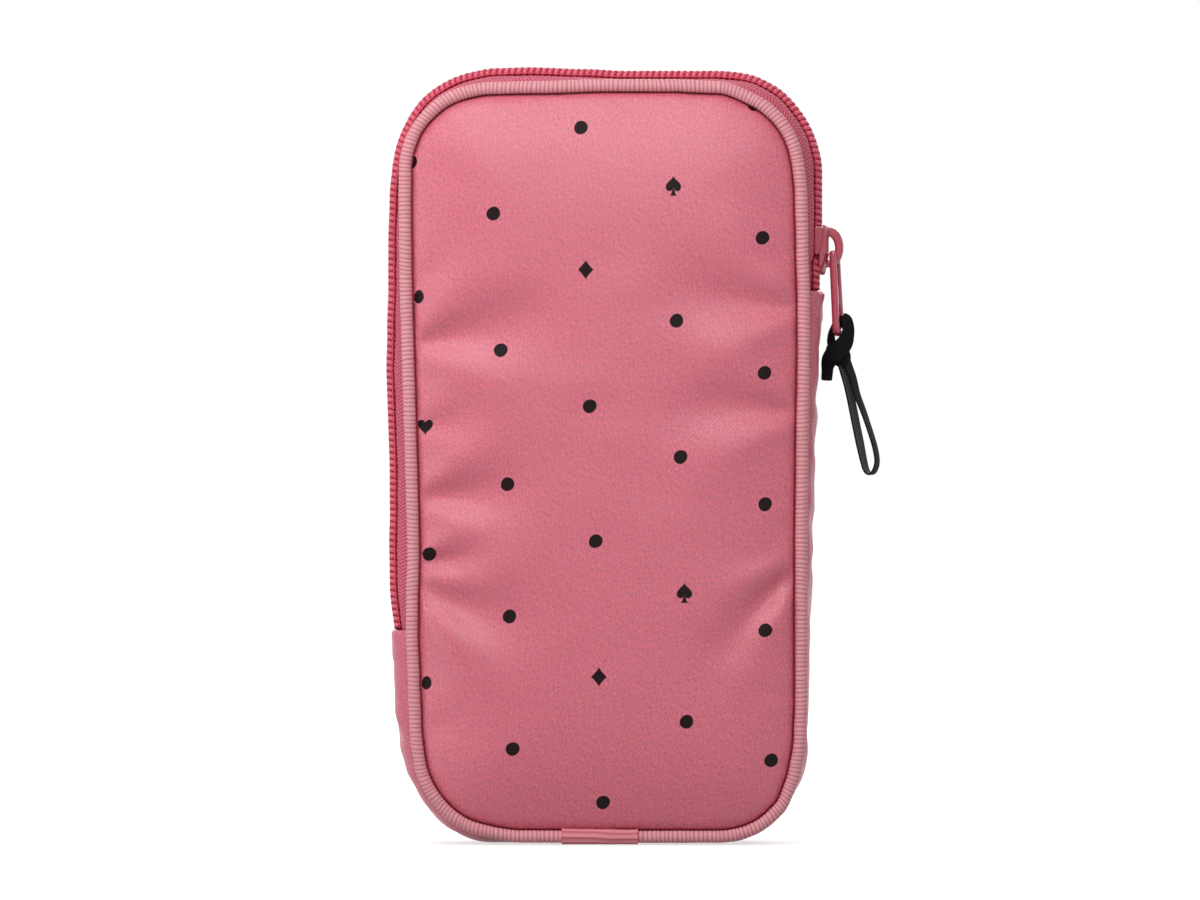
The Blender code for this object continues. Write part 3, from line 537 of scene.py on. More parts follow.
def woven(name, light, deep, pitch, roughness):
    """A plain weave seen as small over and under squares."""
    paint, tree, shader = start_paint(name, roughness, 0.3, 0.25, 0.4, (1, 0.9, 0.9, 1))
    uv = uv_of(tree)
    warp, weft = (wave(tree, uv, pi / 10 / pitch, 0.3, direction=way) for way in "XY")
    cells = maths(tree, "MULTIPLY", warp, weft)
    tone = mix(tree, ranged(tree, noise(tree, uv, 60, 3), 0.1, 0.9), deep, light)
    tone = mix(tree, ranged(tree, cells, 0.3, 0.0), tone, shade(deep, 0.45))
    bumps = (cells, 0.6, 0.00012), (noise(tree, uv, 3000, 2), 0.2, 0.00005)
    finish_paint(tree, shader, tone, bumps)
    return paint


def herringbone(name, light, deep):
    """Zip tape: slanting threads that change side in narrow columns."""
    paint, tree, shader = start_paint(name, 0.7, 0.25, 0.05, 0.35, (1, 0.6, 0.7, 1))
    uv = mapped(tree, uv_of(tree), (1, 0.5, 1))
    right, left = (wave(tree, mapped(tree, uv, turn=turn), 420, 0.5) for turn in (35, -35))
    column = wave(tree, uv, 170, profile="TRI", direction="Y")
    both = mix(tree, maths(tree, "GREATER_THAN", column, 0.5), right, left)
    tone = mix(tree, both, deep, light)
    tone = mix(tree, ranged(tree, noise(tree, uv, 90, 3), 0.0, 0.3), tone, light)
    finish_paint(tree, shader, tone, ((both, 0.9, 0.00025),))
    return paint


def grosgrain(name, light, deep):
    """Piping: threads across the ribs, with painted shade down in the grooves."""
    paint, tree, shader = start_paint(name, 0.68, 0.3, 0.2, 0.4, (1, 0.9, 0.92, 1))
    uv = uv_of(tree)
    rib = node(tree, "ShaderNodeSeparateXYZ", {"Vector": uv}).outputs["X"]
    swing = maths(tree, "COSINE", maths(tree, "MULTIPLY", rib, 2 * pi))
    rise = maths(tree, "ADD", maths(tree, "MULTIPLY", swing, 0.5), 0.5)
    threads = noise(tree, mapped(tree, uv, (9, 900, 1)), 1.0, 2)
    cloud = noise(tree, mapped(tree, uv, (0.06, 60, 1)), 1.0, 3)
    # painted shade: the colour goes to deep down in each rib's groove
    tone = mix(tree, maths(tree, "POWER", rise, 2.6), light, deep)
    tone = mix(tree, ranged(tree, threads, 0.0, 0.3), tone, shade(light, 0.7))
    tone = mix(tree, ranged(tree, cloud, 0.0, 0.22), tone, deep)
    finish_paint(tree, shader, tone, ((threads, 0.35, 0.00008),))
    return paint


def nylon(name, light, deep):
    """The coil: an even mottle over a faint grain."""
    paint, tree, shader = start_paint(name, 0.36)
    cloud, grain = (noise(tree, mapped(tree, uv_of(tree), (scale, scale, 1)), 1.0, detail)
                    for scale, detail in ((300, 3), (900, 2)))
    finish_paint(tree, shader, mix(tree, cloud, deep, light), ((grain, 0.15, 0.0001),))
    return paint


def enamel(name, light, deep):
    """Painted metal: even colour, faint orange peel, and a duller rubbed tone in specks."""
    paint, tree, shader = start_paint(name, 0.33, coat=0.8, coat_roughness=0.12)
    spot = node(tree, "ShaderNodeTexCoord").outputs["Object"]
    cloud = noise(tree, spot, 420, 4)
    specks = ranged(tree, noise(tree, spot, 2600, 2), 0.0, 0.18, 0.66, 0.74)
    tone = mix(tree, ranged(tree, cloud, 0.2, 0.8), deep, light)
    tone = mix(tree, specks, tone, rgb(120, 70, 82))
    finish_paint(tree, shader, tone, ((noise(tree, spot, 900, 2), 0.08, 0.0001),),
                 ranged(tree, cloud, 0.26, 0.44))
    return paint


def ribbon_paint(name, deep, light):
    """Ribbon: fine ribs across its width."""
    paint, tree, shader = start_paint(name, 0.7, 0.07)
    uv = uv_of(tree)
    ribs = wave(tree, uv, 620, 0.6, 1.0)
    across = wave(tree, uv, 1500, 0.3, direction="Y")
    cloud = noise(tree, uv, 260, 3)
    tone = mix(tree, ranged(tree, cloud, 0.1, 0.9), deep, light)
    tone = mix(tree, ranged(tree, ribs, 0.0, 0.4), tone, shade(deep, 0.5))
    finish_paint(tree, shader, tone, ((ribs, 0.5, 0.0001), (across, 0.25, 0.00005)),
                 ranged(tree, cloud, 0.6, 0.78))
    return paint


def plain(name, light, deep, roughness, scale, height, sheen=0.0):
    """Foam, string and thread: a mottled tone over a fibrous bump."""
    paint, tree, shader = start_paint(name, roughness, 0.3, sheen)
    cloud = noise(tree, uv_of(tree), scale, 4, 0.6)
    finish_paint(tree, shader, mix(tree, cloud, deep, light), ((cloud, 0.6, height),))
    return paint


SATIN = satin("printed_satin", rgb(206, 98, 118), rgb(193, 87, 106))
INK = satin("print_ink", rgb(29, 17, 19), rgb(21, 12, 14), 0.1, 0.0)
SIDE_SATIN = satin("plain_satin", rgb(206, 103, 123), rgb(191, 90, 110), 0.4, 0.0)
# both grosgrains, piping and splice patch, carry painted shade in their rib grooves
RIBBED = grosgrain("ribbed_piping", rgb(244, 176, 183), rgb(200, 108, 122))
PATCH = grosgrain("splice_patch", rgb(244, 156, 165), rgb(190, 92, 107))
# the seam allowance strip: dark red as painted shade in the groove beside the piping
SEAM_SHADE = plain("seam_painted_shade", rgb(216, 82, 106), rgb(184, 58, 82), 0.85, 900, 0.0001)
TAPE = herringbone("zip_tape", rgb(240, 122, 144), rgb(194, 66, 92))
COIL = nylon("zip_coil", rgb(234, 106, 130), rgb(210, 77, 103))
# the coil's core is coloured dark red: painted shade in the gaps between the loops
CORE_SHADE = plain("coil_core_shade", rgb(188, 48, 72), rgb(156, 30, 52), 0.7, 1200, 0.0001)
THREAD = plain("zip_thread", rgb(232, 112, 134), rgb(202, 74, 98), 0.6, 2400, 0.0001, 0.05)
METAL = enamel("painted_metal", rgb(196, 60, 86), rgb(178, 48, 74))
RIBBON = ribbon_paint("black_ribbon", rgb(14, 13, 14), rgb(25, 24, 26))
# grey on the loop's inner face: painted sheen where the black ribbon catches the light
RIBBON_INSIDE_SHEEN = ribbon_paint("ribbon_inside_sheen", rgb(84, 82, 87), rgb(112, 110, 116))
FOAM = plain("padding", rgb(244, 240, 230), rgb(226, 220, 206), 0.95, 1600, 0.0003)
INNER = woven("lining", rgb(208, 122, 138), rgb(186, 98, 116), 0.0005, 0.6)
STRING = plain("piping_cord", rgb(238, 233, 222), rgb(210, 204, 190), 0.9, 1400, 0.0003)
BIAS = woven("binding_tape", rgb(200, 106, 124), rgb(172, 80, 100), 0.0006, 0.8)

# ---- cloth of the front and the back
# Print: millimetres across and up from the middle of the bottom, and what stands there
FRONT_PRINT = (
    (-48.2, 170.6, "slim"), (-46.5, 136.9, "slim"), (-44.9, 104.6, "heart"),
    (-43.9, 72.6, "dot"), (-44.6, 40.4, "slim"), (-27.8, 157.6, "dot"), (-26.0, 123.6, "dot"),
    (-24.3, 90.1, "dot"), (-23.8, 57.1, "dot"), (-23.0, 24.1, "dot"), (-6.0, 179.1, "dot"),
    (-4.8, 143.6, "diamond"), (-3.8, 109.6, "dot"), (-2.3, 75.9, "dot"), (-1.5, 42.1, "diamond"),
    (-0.5, 10.6, "dot"), (17.0, 164.4, "spade"), (17.8, 130.9, "dot"), (18.8, 96.9, "dot"),
    (19.8, 62.9, "spade"), (20.3, 30.9, "dot"), (37.3, 185.1, "dot"), (39.3, 151.6, "dot"),
    (39.8, 117.9, "dot"), (40.0, 85.1, "dot"), (40.0, 53.6, "dot"), (41.5, 21.1, "dot"))
BACK_SUITS = {(1, 2): "heart", (2, 4): "spade", (3, 1): "diamond", (3, 5): "diamond",
              (0, 4): "spade", (4, 3): "heart"}

# Folds that run in from the seam, in millimetres and degrees: across, up, direction, length,
# half width, how much it widens, slope
FRONT_FOLDS = (
    (-49.0, 124.8, 11, 50, 1.3, 0.27, 0.62), (-48.5, 139.0, 42, 20, 1.2, 0.20, 0.20),
    (-47.5, 104.2, 6, 24, 1.3, 0.24, 0.34), (-47.0, 86.8, 2, 38, 1.3, 0.27, 0.72),
    (-47.0, 70.9, -3, 24, 1.3, 0.22, 0.95), (-46.5, 65.8, -29, 42, 1.3, 0.26, 0.62),
    (-46.0, 59.0, -41, 38, 1.9, 0.28, -0.24), (49.0, 133.4, 171, 48, 1.3, 0.26, 0.60),
    (49.0, 107.8, 174, 46, 1.3, 0.23, 0.60), (49.0, 83.5, 228, 16, 1.0, 0.16, 0.30),
    (49.0, 71.4, 231, 52, 1.1, 0.17, 0.80), (50.0, 66.4, 229, 44, 1.2, 0.18, -0.42),
    (47.0, 148.0, 196, 20, 1.5, 0.26, 0.14), (-46.0, 28.0, 22, 20, 1.5, 0.26, 0.12),
    (47.0, 36.0, 158, 20, 1.5, 0.26, 0.1), (22.0, 3.0, 100, 14, 1.6, 0.24, 0.08),
    (-22.0, 3.0, 78, 14, 1.6, 0.24, 0.08))
BACK_FOLDS = (
    (-49.0, 132.0, -8, 42, 1.3, 0.27, 0.38), (-49.0, 98.0, 4, 46, 1.3, 0.25, 0.42),
    (-48.5, 66.0, 12, 36, 1.3, 0.24, 0.36), (49.0, 141.0, 190, 34, 1.3, 0.26, 0.3),
    (49.0, 112.0, 178, 48, 1.3, 0.25, 0.42), (49.0, 80.0, 186, 40, 1.3, 0.24, 0.4),
    (48.0, 54.0, 160, 30, 1.3, 0.24, 0.28), (-20.0, 3.0, 80, 18, 1.6, 0.24, 0.14),
    (18.0, 188.0, -98, 16, 1.6, 0.24, 0.1))
# How the simulated cloth swells inside its seam
SWELL = {"quality": 6, "mass": 0.35, "tension_stiffness": 24, "compression_stiffness": 24,
         "shear_stiffness": 8, "bending_stiffness": 1.2, "shrink_min": -0.006,
         "use_pressure": True, "uniform_pressure_force": 2.2, "air_damping": 3.0}


def print_shape(kind, seed):
    """A closed outline about the origin, in millimetres."""
    if kind == "slim":
        return print_shape("dot", seed) * (0.74, 0.96)
    if kind == "dot":
        turn = np.linspace(0, 2 * pi, 30, endpoint=False)
        lean = radians(50 + 14 * sin(seed * 1.9))
        reach = 1.72 + 0.03 * np.sin(3 * turn + 2.1 * seed) + 0.07 * np.cos(2 * (turn - lean))
        return np.stack([reach * np.cos(turn), reach * np.sin(turn)], axis=1)
    if kind == "diamond":
        tips = np.array(((0, 2.35), (1.95, 0), (0, -2.35), (-1.95, 0), (0, 2.35)))
        part = np.linspace(0, 1, 6, endpoint=False)[:, None]
        hollow = 1 - 0.07 * np.sin(pi * part)
        return np.concatenate([(a + (b - a) * part) * hollow for a, b in zip(tips, tips[1:])])
    turn = np.linspace(0, 2 * pi, 40, endpoint=False)
    x = 1.95 * np.sin(turn) ** 3
    z = 0.135 * (13 * np.cos(turn) - 5 * np.cos(2 * turn) - 2 * np.cos(3 * turn)
                 - np.cos(4 * turn))
    if kind == "heart":
        return np.stack([x, z], axis=1)[::-1]
    leaf = np.stack([x, -z + 0.35], axis=1)
    leaf = leaf[(leaf[:, 1] > -1.3) | (np.abs(leaf[:, 0]) > 0.42)]
    leaf = leaf[np.argsort(np.arctan2(leaf[:, 0], leaf[:, 1] + 0.2))]
    stem = ((0.42, -1.3), (0.5, -1.85), (0.95, -2.4), (-0.95, -2.4), (-0.5, -1.85), (-0.42, -1.3))
    return np.concatenate([leaf[leaf[:, 0] >= 0], stem, leaf[leaf[:, 0] < 0]])


def back_print():
    """The back's print: the same kind of lattice, with suits here and there."""
    marks = []
    for i in range(-1, 6):
        for j in range(-2, 8):
            x = 41.0 - 22.2 * i - 0.9 * j
            z = 24.0 + 12.6 * i + 33.4 * j - 25.0
            corner = hypot(max(0, abs(x) - 29), max(0, abs(z - 95.6) - 73))
            if abs(x) < 46.0 and 5.5 < z < 186.0 and corner < 17:
                marks.append((x + 0.4 * sin(i * 3.1 + j), z + 0.4 * cos(j * 2.3 + i),
                              BACK_SUITS.get((i, j), "dot")))
    return marks


def inside(points, loop):
    """Which points lie inside a closed outline."""
    x, z = points[:, 0][:, None], points[:, 1][:, None]
    x0, z0 = loop.T[:, None]
    x1, z1 = np.roll(loop, -1, axis=0).T[:, None]
    over = (z0 > z) != (z1 > z)
    with np.errstate(divide="ignore", invalid="ignore"):
        at = x0 + (z - z0) * (x1 - x0) / (z1 - z0)
    return (np.sum(over & (x < at), axis=1) % 2) == 1


def near(points, loop):
    """The distance of each point from the nearest point of an outline."""
    return np.sqrt(((points[:, None, :] - loop[None]) ** 2).sum(-1)).min(1)


def folds(points, table):
    """How far the cloth lies in at points of the face, from the table of folds."""
    total = np.zeros(len(points))
    for x, z, turn, length, half, widen, slope in table:
        turn = radians(turn)
        dx, dz = points[:, 0] * 1000 - x, points[:, 1] * 1000 - z
        run = dx * cos(turn) + dz * sin(turn)
        side = -dx * sin(turn) + dz * cos(turn)
        width = half + widen * np.clip(run, 0, None)
        fade = ease(-2, 2.5, run) * (1 - ease(0.1 * length, length, run)) ** 1.5
        wings = 1 - ease(0.05 * length, 0.8 * length, run)
        left, right = (np.exp(-((side + way * width) / width / 1.2) ** 2) for way in (-2.1, 2.1))
        total += slope * width / 1000 * fade * (
            np.exp(-(side / width) ** 2) - 0.36 * wings * left - 0.4 * wings * right)
    return total


def seam_line(grow):
    """The face's outline in its plane, at a growth from the piping's outside."""
    return np.stack(place(spread(0, 1, BORDER_STEP)[:-1], grow), axis=1)


def face_points(edge, step, prints, flip):
    """Points in the plane of the face: its border, the outlines of the print, and a fill."""
    border = seam_line(edge)
    loops = []
    for number, (x, z, kind) in enumerate(prints):
        shape = print_shape(kind, number + (50 if flip else 0))
        loops.append((shape * (-1 if flip else 1, 1) + (x, z)) / 1000)
    (left, low), (right, high) = border.min(0), border.max(0)
    rows = []
    for row, z in enumerate(np.arange(low, high, step * 0.87)):
        x = np.arange(left + (row % 2) * step / 2, right, step)
        rows.append(np.stack([x, np.full_like(x, z)], axis=1))
    fill = np.concatenate(rows)
    fill = fill[inside(fill, border)]
    fill = fill[near(fill, border) > step * 0.6 + LIP_ROW]
    fill = np.concatenate([seam_line(edge - LIP_ROW), fill])
    for loop in loops:
        close = np.abs(fill - loop.mean(0)).max(1) < PRINT_REACH
        keep = np.ones(len(fill), bool)
        keep[close] = near(fill[close], loop) > PRINT_ROOM
        fill = fill[keep]
    return border, loops, fill


def face_mesh(edge, step, prints=(), flip=False):
    """Points and triangles of the face in its plane, and which triangles are printed."""
    border, loops, fill = face_points(edge, step, prints, flip)
    coords, edges = [], []
    for loop in [border] + loops:
        base = len(coords)
        coords += loop.tolist()
        edges += [(base + spot, base + (spot + 1) % len(loop)) for spot in range(len(loop))]
    coords += fill.tolist()
    made = delaunay_2d_cdt([Vector(point) for point in coords], edges, [], 1, 1e-7)
    points, faces = np.array([tuple(vert) for vert in made[0]]), np.array(made[2])
    faces = faces[inside(points[faces].mean(1), border)]
    middles = points[faces].mean(1)
    printed = np.zeros(len(faces), int)
    for loop in loops:
        close = np.flatnonzero(np.abs(middles - loop.mean(0)).max(1) < PRINT_REACH)
        printed[close[inside(middles[close], loop)]] = 1
    used = np.unique(faces)
    lookup = np.full(len(points), -1)
    lookup[used] = np.arange(len(used))
    return points[used], lookup[faces], printed


def crown(reach):
    """How far the face stands up at a distance from its seam, where it rolls over a short lip."""
    lip = CROWN_LIP * (1 - np.exp(-reach / CROWN_LIP_REACH))
    return lip + (CROWN - CROWN_LIP) * (1 - (1 - np.clip(reach / CROWN_SPAN, 0, 1)) ** 3)


def crowned_depth(points, shift=0.0):
    """How far out the face stands, like a thin cushion, and the share of its crown's reach."""
    reach = near(points, seam_line(CLOTH_EDGE))
    return CLOTH_EDGE_DEPTH + crown(reach) - shift, np.clip(reach / CROWN_REACH, 0, 1)


def swell(points, faces, depth, flat, side):
    """How far each point moves as the cloth swells, held at its seam: smoothed, and capped."""
    rest = spots(points[:, 0], side * depth, points[:, 1]) * SWELL_SCALE
    mesh = bpy.data.meshes.new("swelling")
    mesh.from_pydata([tuple(point) for point in rest], [], faces[:, ::-side].tolist())
    mesh.update()
    body = add("swelling", mesh)
    pins = body.vertex_groups.new(name="seam")
    pins.add(np.flatnonzero(flat < PINNED_SHARE).tolist(), 1.0, "REPLACE")
    cloth = body.modifiers.new("cloth", "CLOTH")
    cloth.settings.vertex_group_mass = "seam"
    for key, value in SWELL.items():
        setattr(cloth.settings, key, value)
    cloth.settings.effector_weights.gravity = 0.0
    cloth.collision_settings.use_collision = False
    cloth.point_cache.frame_start, cloth.point_cache.frame_end = 1, SWELL_FRAMES + 4
    for number in range(1, SWELL_FRAMES + 1):
        bpy.context.scene.frame_set(number)
    result = body.evaluated_get(bpy.context.evaluated_depsgraph_get()).to_mesh()
    swollen = np.zeros(len(result.vertices) * 3, np.float32)
    result.vertices.foreach_get("co", swollen)
    moved = swollen.reshape(-1, 3) / SWELL_SCALE - rest / SWELL_SCALE
    bpy.context.scene.frame_set(1)
    bpy.data.objects.remove(body, do_unlink=True)
    pairs = np.concatenate([faces[:, :2], faces[:, 1:], faces[:, ::2]])
    pairs = np.unique(np.sort(pairs, axis=1), axis=0)
    count = np.bincount(pairs.ravel(), minlength=len(points))[:, None]
    for _ in range(SWELL_SMOOTHING):
        total = np.zeros_like(moved)
        np.add.at(total, pairs[:, 0], moved[pairs[:, 1]])
        np.add.at(total, pairs[:, 1], moved[pairs[:, 0]])
        held = flat[:, None] < PINNED_SHARE
        moved = np.where(held, 0.0, 0.5 * moved + 0.5 * total / count)
    return moved * min(1, SWELL_CAP / np.linalg.norm(moved, axis=1).max())


def thicken(piece, wall):
    """Gives a sheet its wall, on its inner side."""
    thick = piece.modifiers.new("wall", "SOLIDIFY")
    thick.thickness, thick.offset = wall, -1
    mesh = evaluated_mesh(piece)
    piece.modifiers.clear()
    piece.data = mesh
    return piece


def face_piece(name, side, prints, table, seed):
    """The cloth of one face with its print, and how far it stands off its crown at each point."""
    points, faces, printed = face_mesh(CLOTH_EDGE, FACE_STEP, prints, side > 0)
    crowned, flat = crowned_depth(points)
    x, z = points.T
    lie = folds(points * (-side, 1), table)
    ripple = wobble(x * 14 + z * 9, seed) * wobble(z * 22 - x * 6, seed + 3)
    seam = wobble(z * 85 + x * 60, seed + 7) * np.exp(-((flat - 0.16) / 0.13) ** 2)
    depth = crowned + ease(0.0, 0.1, flat) * (RIPPLE * ripple + SEAM_PUCKER * seam - lie)
    shape = spots(x, side * depth, z)
    shape = shape + swell(points, faces, depth, flat, side)
    order = faces[:, ::-side]
    piece = make(name, shape, order.tolist(), points[order], [SATIN, INK], printed)
    return thicken(piece, CLOTH_WALL), (points, side * shape[:, 1] - crowned)


def layer_piece(name, side, field, shift, wall, material, step):
    """A layer behind the cloth that follows it."""
    points, faces, _ = face_mesh(CLOTH_EDGE - LAYER_TUCK, step)
    tree = KDTree(len(field[0]))
    for spot, point in enumerate(field[0]):
        tree.insert((*point, 0), spot)
    tree.balance()
    moved = [min(field[1][number] for _, number, _ in tree.find_n((*point, 0), 12))
             for point in points]
    shape = spots(points[:, 0], side * (crowned_depth(points, shift)[0] + moved), points[:, 1])
    order = faces[:, ::-side]
    return thicken(make(name, shape, order.tolist(), points[order], [material]), wall)


# ---- piping
def piping_ring(share, side, angles, radius):
    return around(share, -PIPING_RADIUS + radius * np.cos(angles),
                  side * (HALF_DEPTH + radius * np.sin(angles)))


def piping_piece(name, side, seed):
    """The ribbed sleeve round its cord, and the flat allowance that is sewn into the seam, coloured
    dark red as painted shade in the groove.
    """
    shares = ring_shares(SLEEVE_RINGS)
    along = path_length(np.stack(place(np.append(shares, 0.0), 0.0), axis=1))
    along, whole = along[:-1, None], along[-1]
    pitch = whole / round(whole / RIB_PITCH)
    loose = 1 + 0.02 * wobble(along * 38, seed + 1) + 0.012 * wobble(along * 140, seed + 2)
    angles = np.linspace(0, 2 * pi, 17)
    slant = 0.28 * wobble(along * 17, seed + 5) * np.sin(angles - radians(45))
    phase = along / pitch + 0.13 * wobble(along * 150, seed) + slant
    rib = (0.5 + 0.5 * np.cos(2 * pi * phase)) ** 2.2
    deep = 0.046 + 0.015 * wobble(along * 210 + angles / pi, seed + 9)
    flatten = 1 - 0.05 * np.exp(-((angles - radians(225)) / 0.6) ** 2)
    radius = (PIPING_RADIUS * loose * (1 - deep * rib) * flatten)[:, :-1]
    rings = piping_ring(shares[:, None], side, angles[:-1], radius)
    phase = np.concatenate([phase, phase[:1] + whole / pitch])
    # the allowance strip below takes the dark red painted groove shade
    tuck, edge = -2 * PIPING_RADIUS + 0.0007, CLOTH_EDGE - 0.0004
    section = np.array(((tuck, 0.0006), (edge, 0.0008), (edge, 0.0012), (tuck, 0.0011)))
    strip = around(ring_shares(STRIP_RINGS)[:, None], section[:, 0],
                   side * (HALF_DEPTH - section[:, 1]))
    return assemble(name, [grid(rings, phase, angles * PIPING_RADIUS, closed=True),
                           grid(strip, ROUND, 0.004, closed=True, slot=1)], [RIBBED, SEAM_SHADE])


def cord_piece(name, side):
    """The twisted cord inside the piping."""
    shares = ring_shares(CORD_RINGS)[:, None]
    angles = np.linspace(0, 2 * pi, 9, endpoint=False)
    strands = np.abs(np.cos(1.5 * (angles + shares * 2 * pi * CORD_TURNS)))
    rings = piping_ring(shares, side, angles, (PIPING_RADIUS - CORD_PLAY) * (0.88 + 0.12 * strands))
    return assemble(name, [grid(rings, ROUND, 0.006, closed=True)], [STRING])


def splice_piece(name, side, seed):
    """The patch over the piping's meeting ends, with ridges along it that wander a little."""
    steps = np.linspace(0, 1, 60)[:, None]
    shares = (-SPLICE_LEFT + (SPLICE_LEFT + SPLICE_RIGHT) * steps) / ROUND
    parts = np.linspace(0, 1, 34)
    mouth = radians(110)
    angles = radians(225) + mouth / 2 + (2 * pi - mouth) * parts
    ridges = parts * 6.2 + (0.12 * np.tanh((steps - 0.5) * 9) + 0.03 * wobble(steps * 2, seed))
    slack = 0.0001 * wobble(steps * 1.6, seed + 4) - 0.00008 * ease(0.5, 0.62, steps)
    lip = PATCH_LIP * (np.exp(-(steps / 0.03) ** 2) + np.exp(-((1 - steps) / 0.03) ** 2))
    radius = PIPING_RADIUS + GAP * 0.7 + SPLICE_WALL + PATCH_RIDGE * np.cos(2 * pi * ridges)
    outside = piping_ring(shares, side, angles, radius + slack + lip)
    outside[..., 2] = np.maximum(outside[..., 2], 0.00003)
    within = piping_ring(shares, side, angles, PIPING_RADIUS + GAP * 0.4)[:, ::-1]
    u = np.concatenate([ridges, ridges[:, ::-1], ridges[:, :1]], axis=1)
    rings = np.concatenate([outside, within], axis=1)
    return assemble(name, [grid(rings, u, steps * 0.02)], [PATCH])


def binding_piece(name, side, seed):
    """The folded tape over the seam allowances inside."""
    shares = ring_shares(BINDING_RINGS)[:, None]
    section = oval(BINDING_WIDTH / 2, BINDING_THICKNESS / 2, 16, 4.0)
    uneven = 1 - 0.06 * (0.5 + 0.5 * wobble(shares * 90, seed))
    grow = -SEAM_DROP - SIDE_WALL - 2 * GAP - BINDING_WIDTH / 2 + section[:, 0] * uneven
    high = CLOTH_EDGE_DEPTH - CLOTH_WALL * LAYER_SPREAD_SHARE - GAP
    depth = high - BINDING_THICKNESS / 2 + section[:, 1] * uneven
    return assemble(name, [grid(around(shares, grow, side * depth), ROUND, 0.009, closed=True)],
                    [BIAS])


# ---- sides and zip
def side_arch(across):
    """How high the side stands at a share of its half width: 0 at the seam, 1 in the middle."""
    return 1 - np.abs(across) ** 4


def band_piece(name, shares, outer, wall, depth, v, material):
    """A band of cloth round the sides: how far it stands out, its depths and its uvs across."""
    outside = around(shares[:, None], outer, depth)
    outside[..., 2] = np.maximum(outside[..., 2], 0.0)
    within = around(shares[:, None], outer - wall, depth)[:, ::-1]
    rings = np.concatenate([outside, within], axis=1)
    return assemble(name, [grid(rings, (shares - shares[0]) * ROUND,
                                np.concatenate([v, v[::-1], v[:1]]))], [material])


def side_piece(name, shares, half, lift, wall, material, hem=False):
    """A band of cloth round the sides between two shares, thick, with soft unevenness."""
    across = np.linspace(-1, 1, 29)
    length = (shares - shares[0])[:, None] * ROUND
    end = np.minimum(length, length[-1] - length)
    turn = np.mod(shares, 1)[:, None]
    ripple = wobble(length * 42 + 0.4 * across, 1) * (1 - across ** 2)
    pucker = wobble(length * 190, 3) * np.exp(-((np.abs(across) - 0.86) / 0.1) ** 2)
    standing = ease(ACROSS * 0.95, ACROSS * 1.3, np.minimum(turn, 1 - turn) * ROUND)
    soft = SIDE_RIPPLE * (ripple + 0.35 * pucker) * standing
    fold = HEM_RISE * (1 - ease(0.0065, 0.0085, end)) - HEM_LIP * (1 - ease(0.0, HEM_LIP, end))
    up = np.where(turn < 0.5, turn * ROUND, 0.0) - ACROSS
    valley = VALLEY * np.exp(-((across + 0.42 + 0.1 * np.sin(up * 90)) / 0.12) ** 2)
    valley = valley * (ease(0.055, 0.1, up) * (0.7 + 0.3 * wobble(up * 30, 1)))
    hollow = KNOT_ROOM * np.exp(-((across + 0.02) / 0.3) ** 2) * ease(0.117, 0.124, up)
    hollow = hollow * ((1 + 0.5 * ease(0.138, 0.146, up)) * ease(0.001, 0.004, end))
    middle = bulge(shares)[:, None] - lift
    outer = (-SEAM_DROP + (middle + SEAM_DROP) * side_arch(across) + soft
             + hem * fold * (1 - across ** 6) - valley - hollow)
    return band_piece(name, shares, outer, wall, half * across, half * across, material)


def parted(share):
    """How far the rows stand apart below the slider's post, and how far down they lie."""
    _, z = place(share, 0.0)
    right = np.mod(share, 1) < 0.5
    post = SLIDER_FOOT + SLIDER_POST_STAND
    part = (1 - ease(post + SLIDER_POST_RADIUS, post + SLIDER_POST_RUN, z)) * right
    end = (1 - ease(ZIP_LEFT_END, ZIP_LEFT_END + 0.012, z)) * ~right
    return part, end


def tape_piece(name, side, shares):
    """One zip tape, from the seam to the row of the coil."""
    across = np.linspace(1, 0, 11)
    depth = TAPE_EDGE + (SIDE_HALF - TAPE_EDGE) * across
    share_of = depth / SIDE_HALF
    crest = bulge(shares)[:, None]
    part, end = (rows[:, None] for rows in parted(shares))
    length = (shares - shares[0])[:, None] * ROUND
    middle = crest - COIL_RISE + TAPE_LIE - TAPE_SINK * part - END_SINK * end
    soft = 0.00012 * wobble(length * 60 + across, 3 + side) * across * (1 - across) * 4
    arch = 1 - np.clip((share_of - 0.3) / 0.7, 0, 1) ** 2.2
    outer = -SEAM_DROP + (middle + SEAM_DROP) * arch + soft
    under = -SEAM_DROP + (crest + SEAM_DROP) * side_arch(share_of) - SIDE_WALL - 0.0003
    past = np.minimum(length, length[-1] - length)
    outer = np.minimum(outer, under + 0.002 * ease(0.0011, 0.0021, past))
    return band_piece(name, shares, outer, TAPE_WALL, side * depth, depth, TAPE)


def chain_stops(count=4000):
    """Shares along the zip from its right end, how far along each lies, and the tooth count."""
    fine = np.linspace(side_share(ZIP_RIGHT_END + GAP), 1 - side_share(ZIP_LEFT_END + GAP),
                       count + 1)
    along = path_length(np.stack(place(fine, bulge(fine)), axis=1))
    return fine, along, round(along[-1] / TOOTH_PITCH)


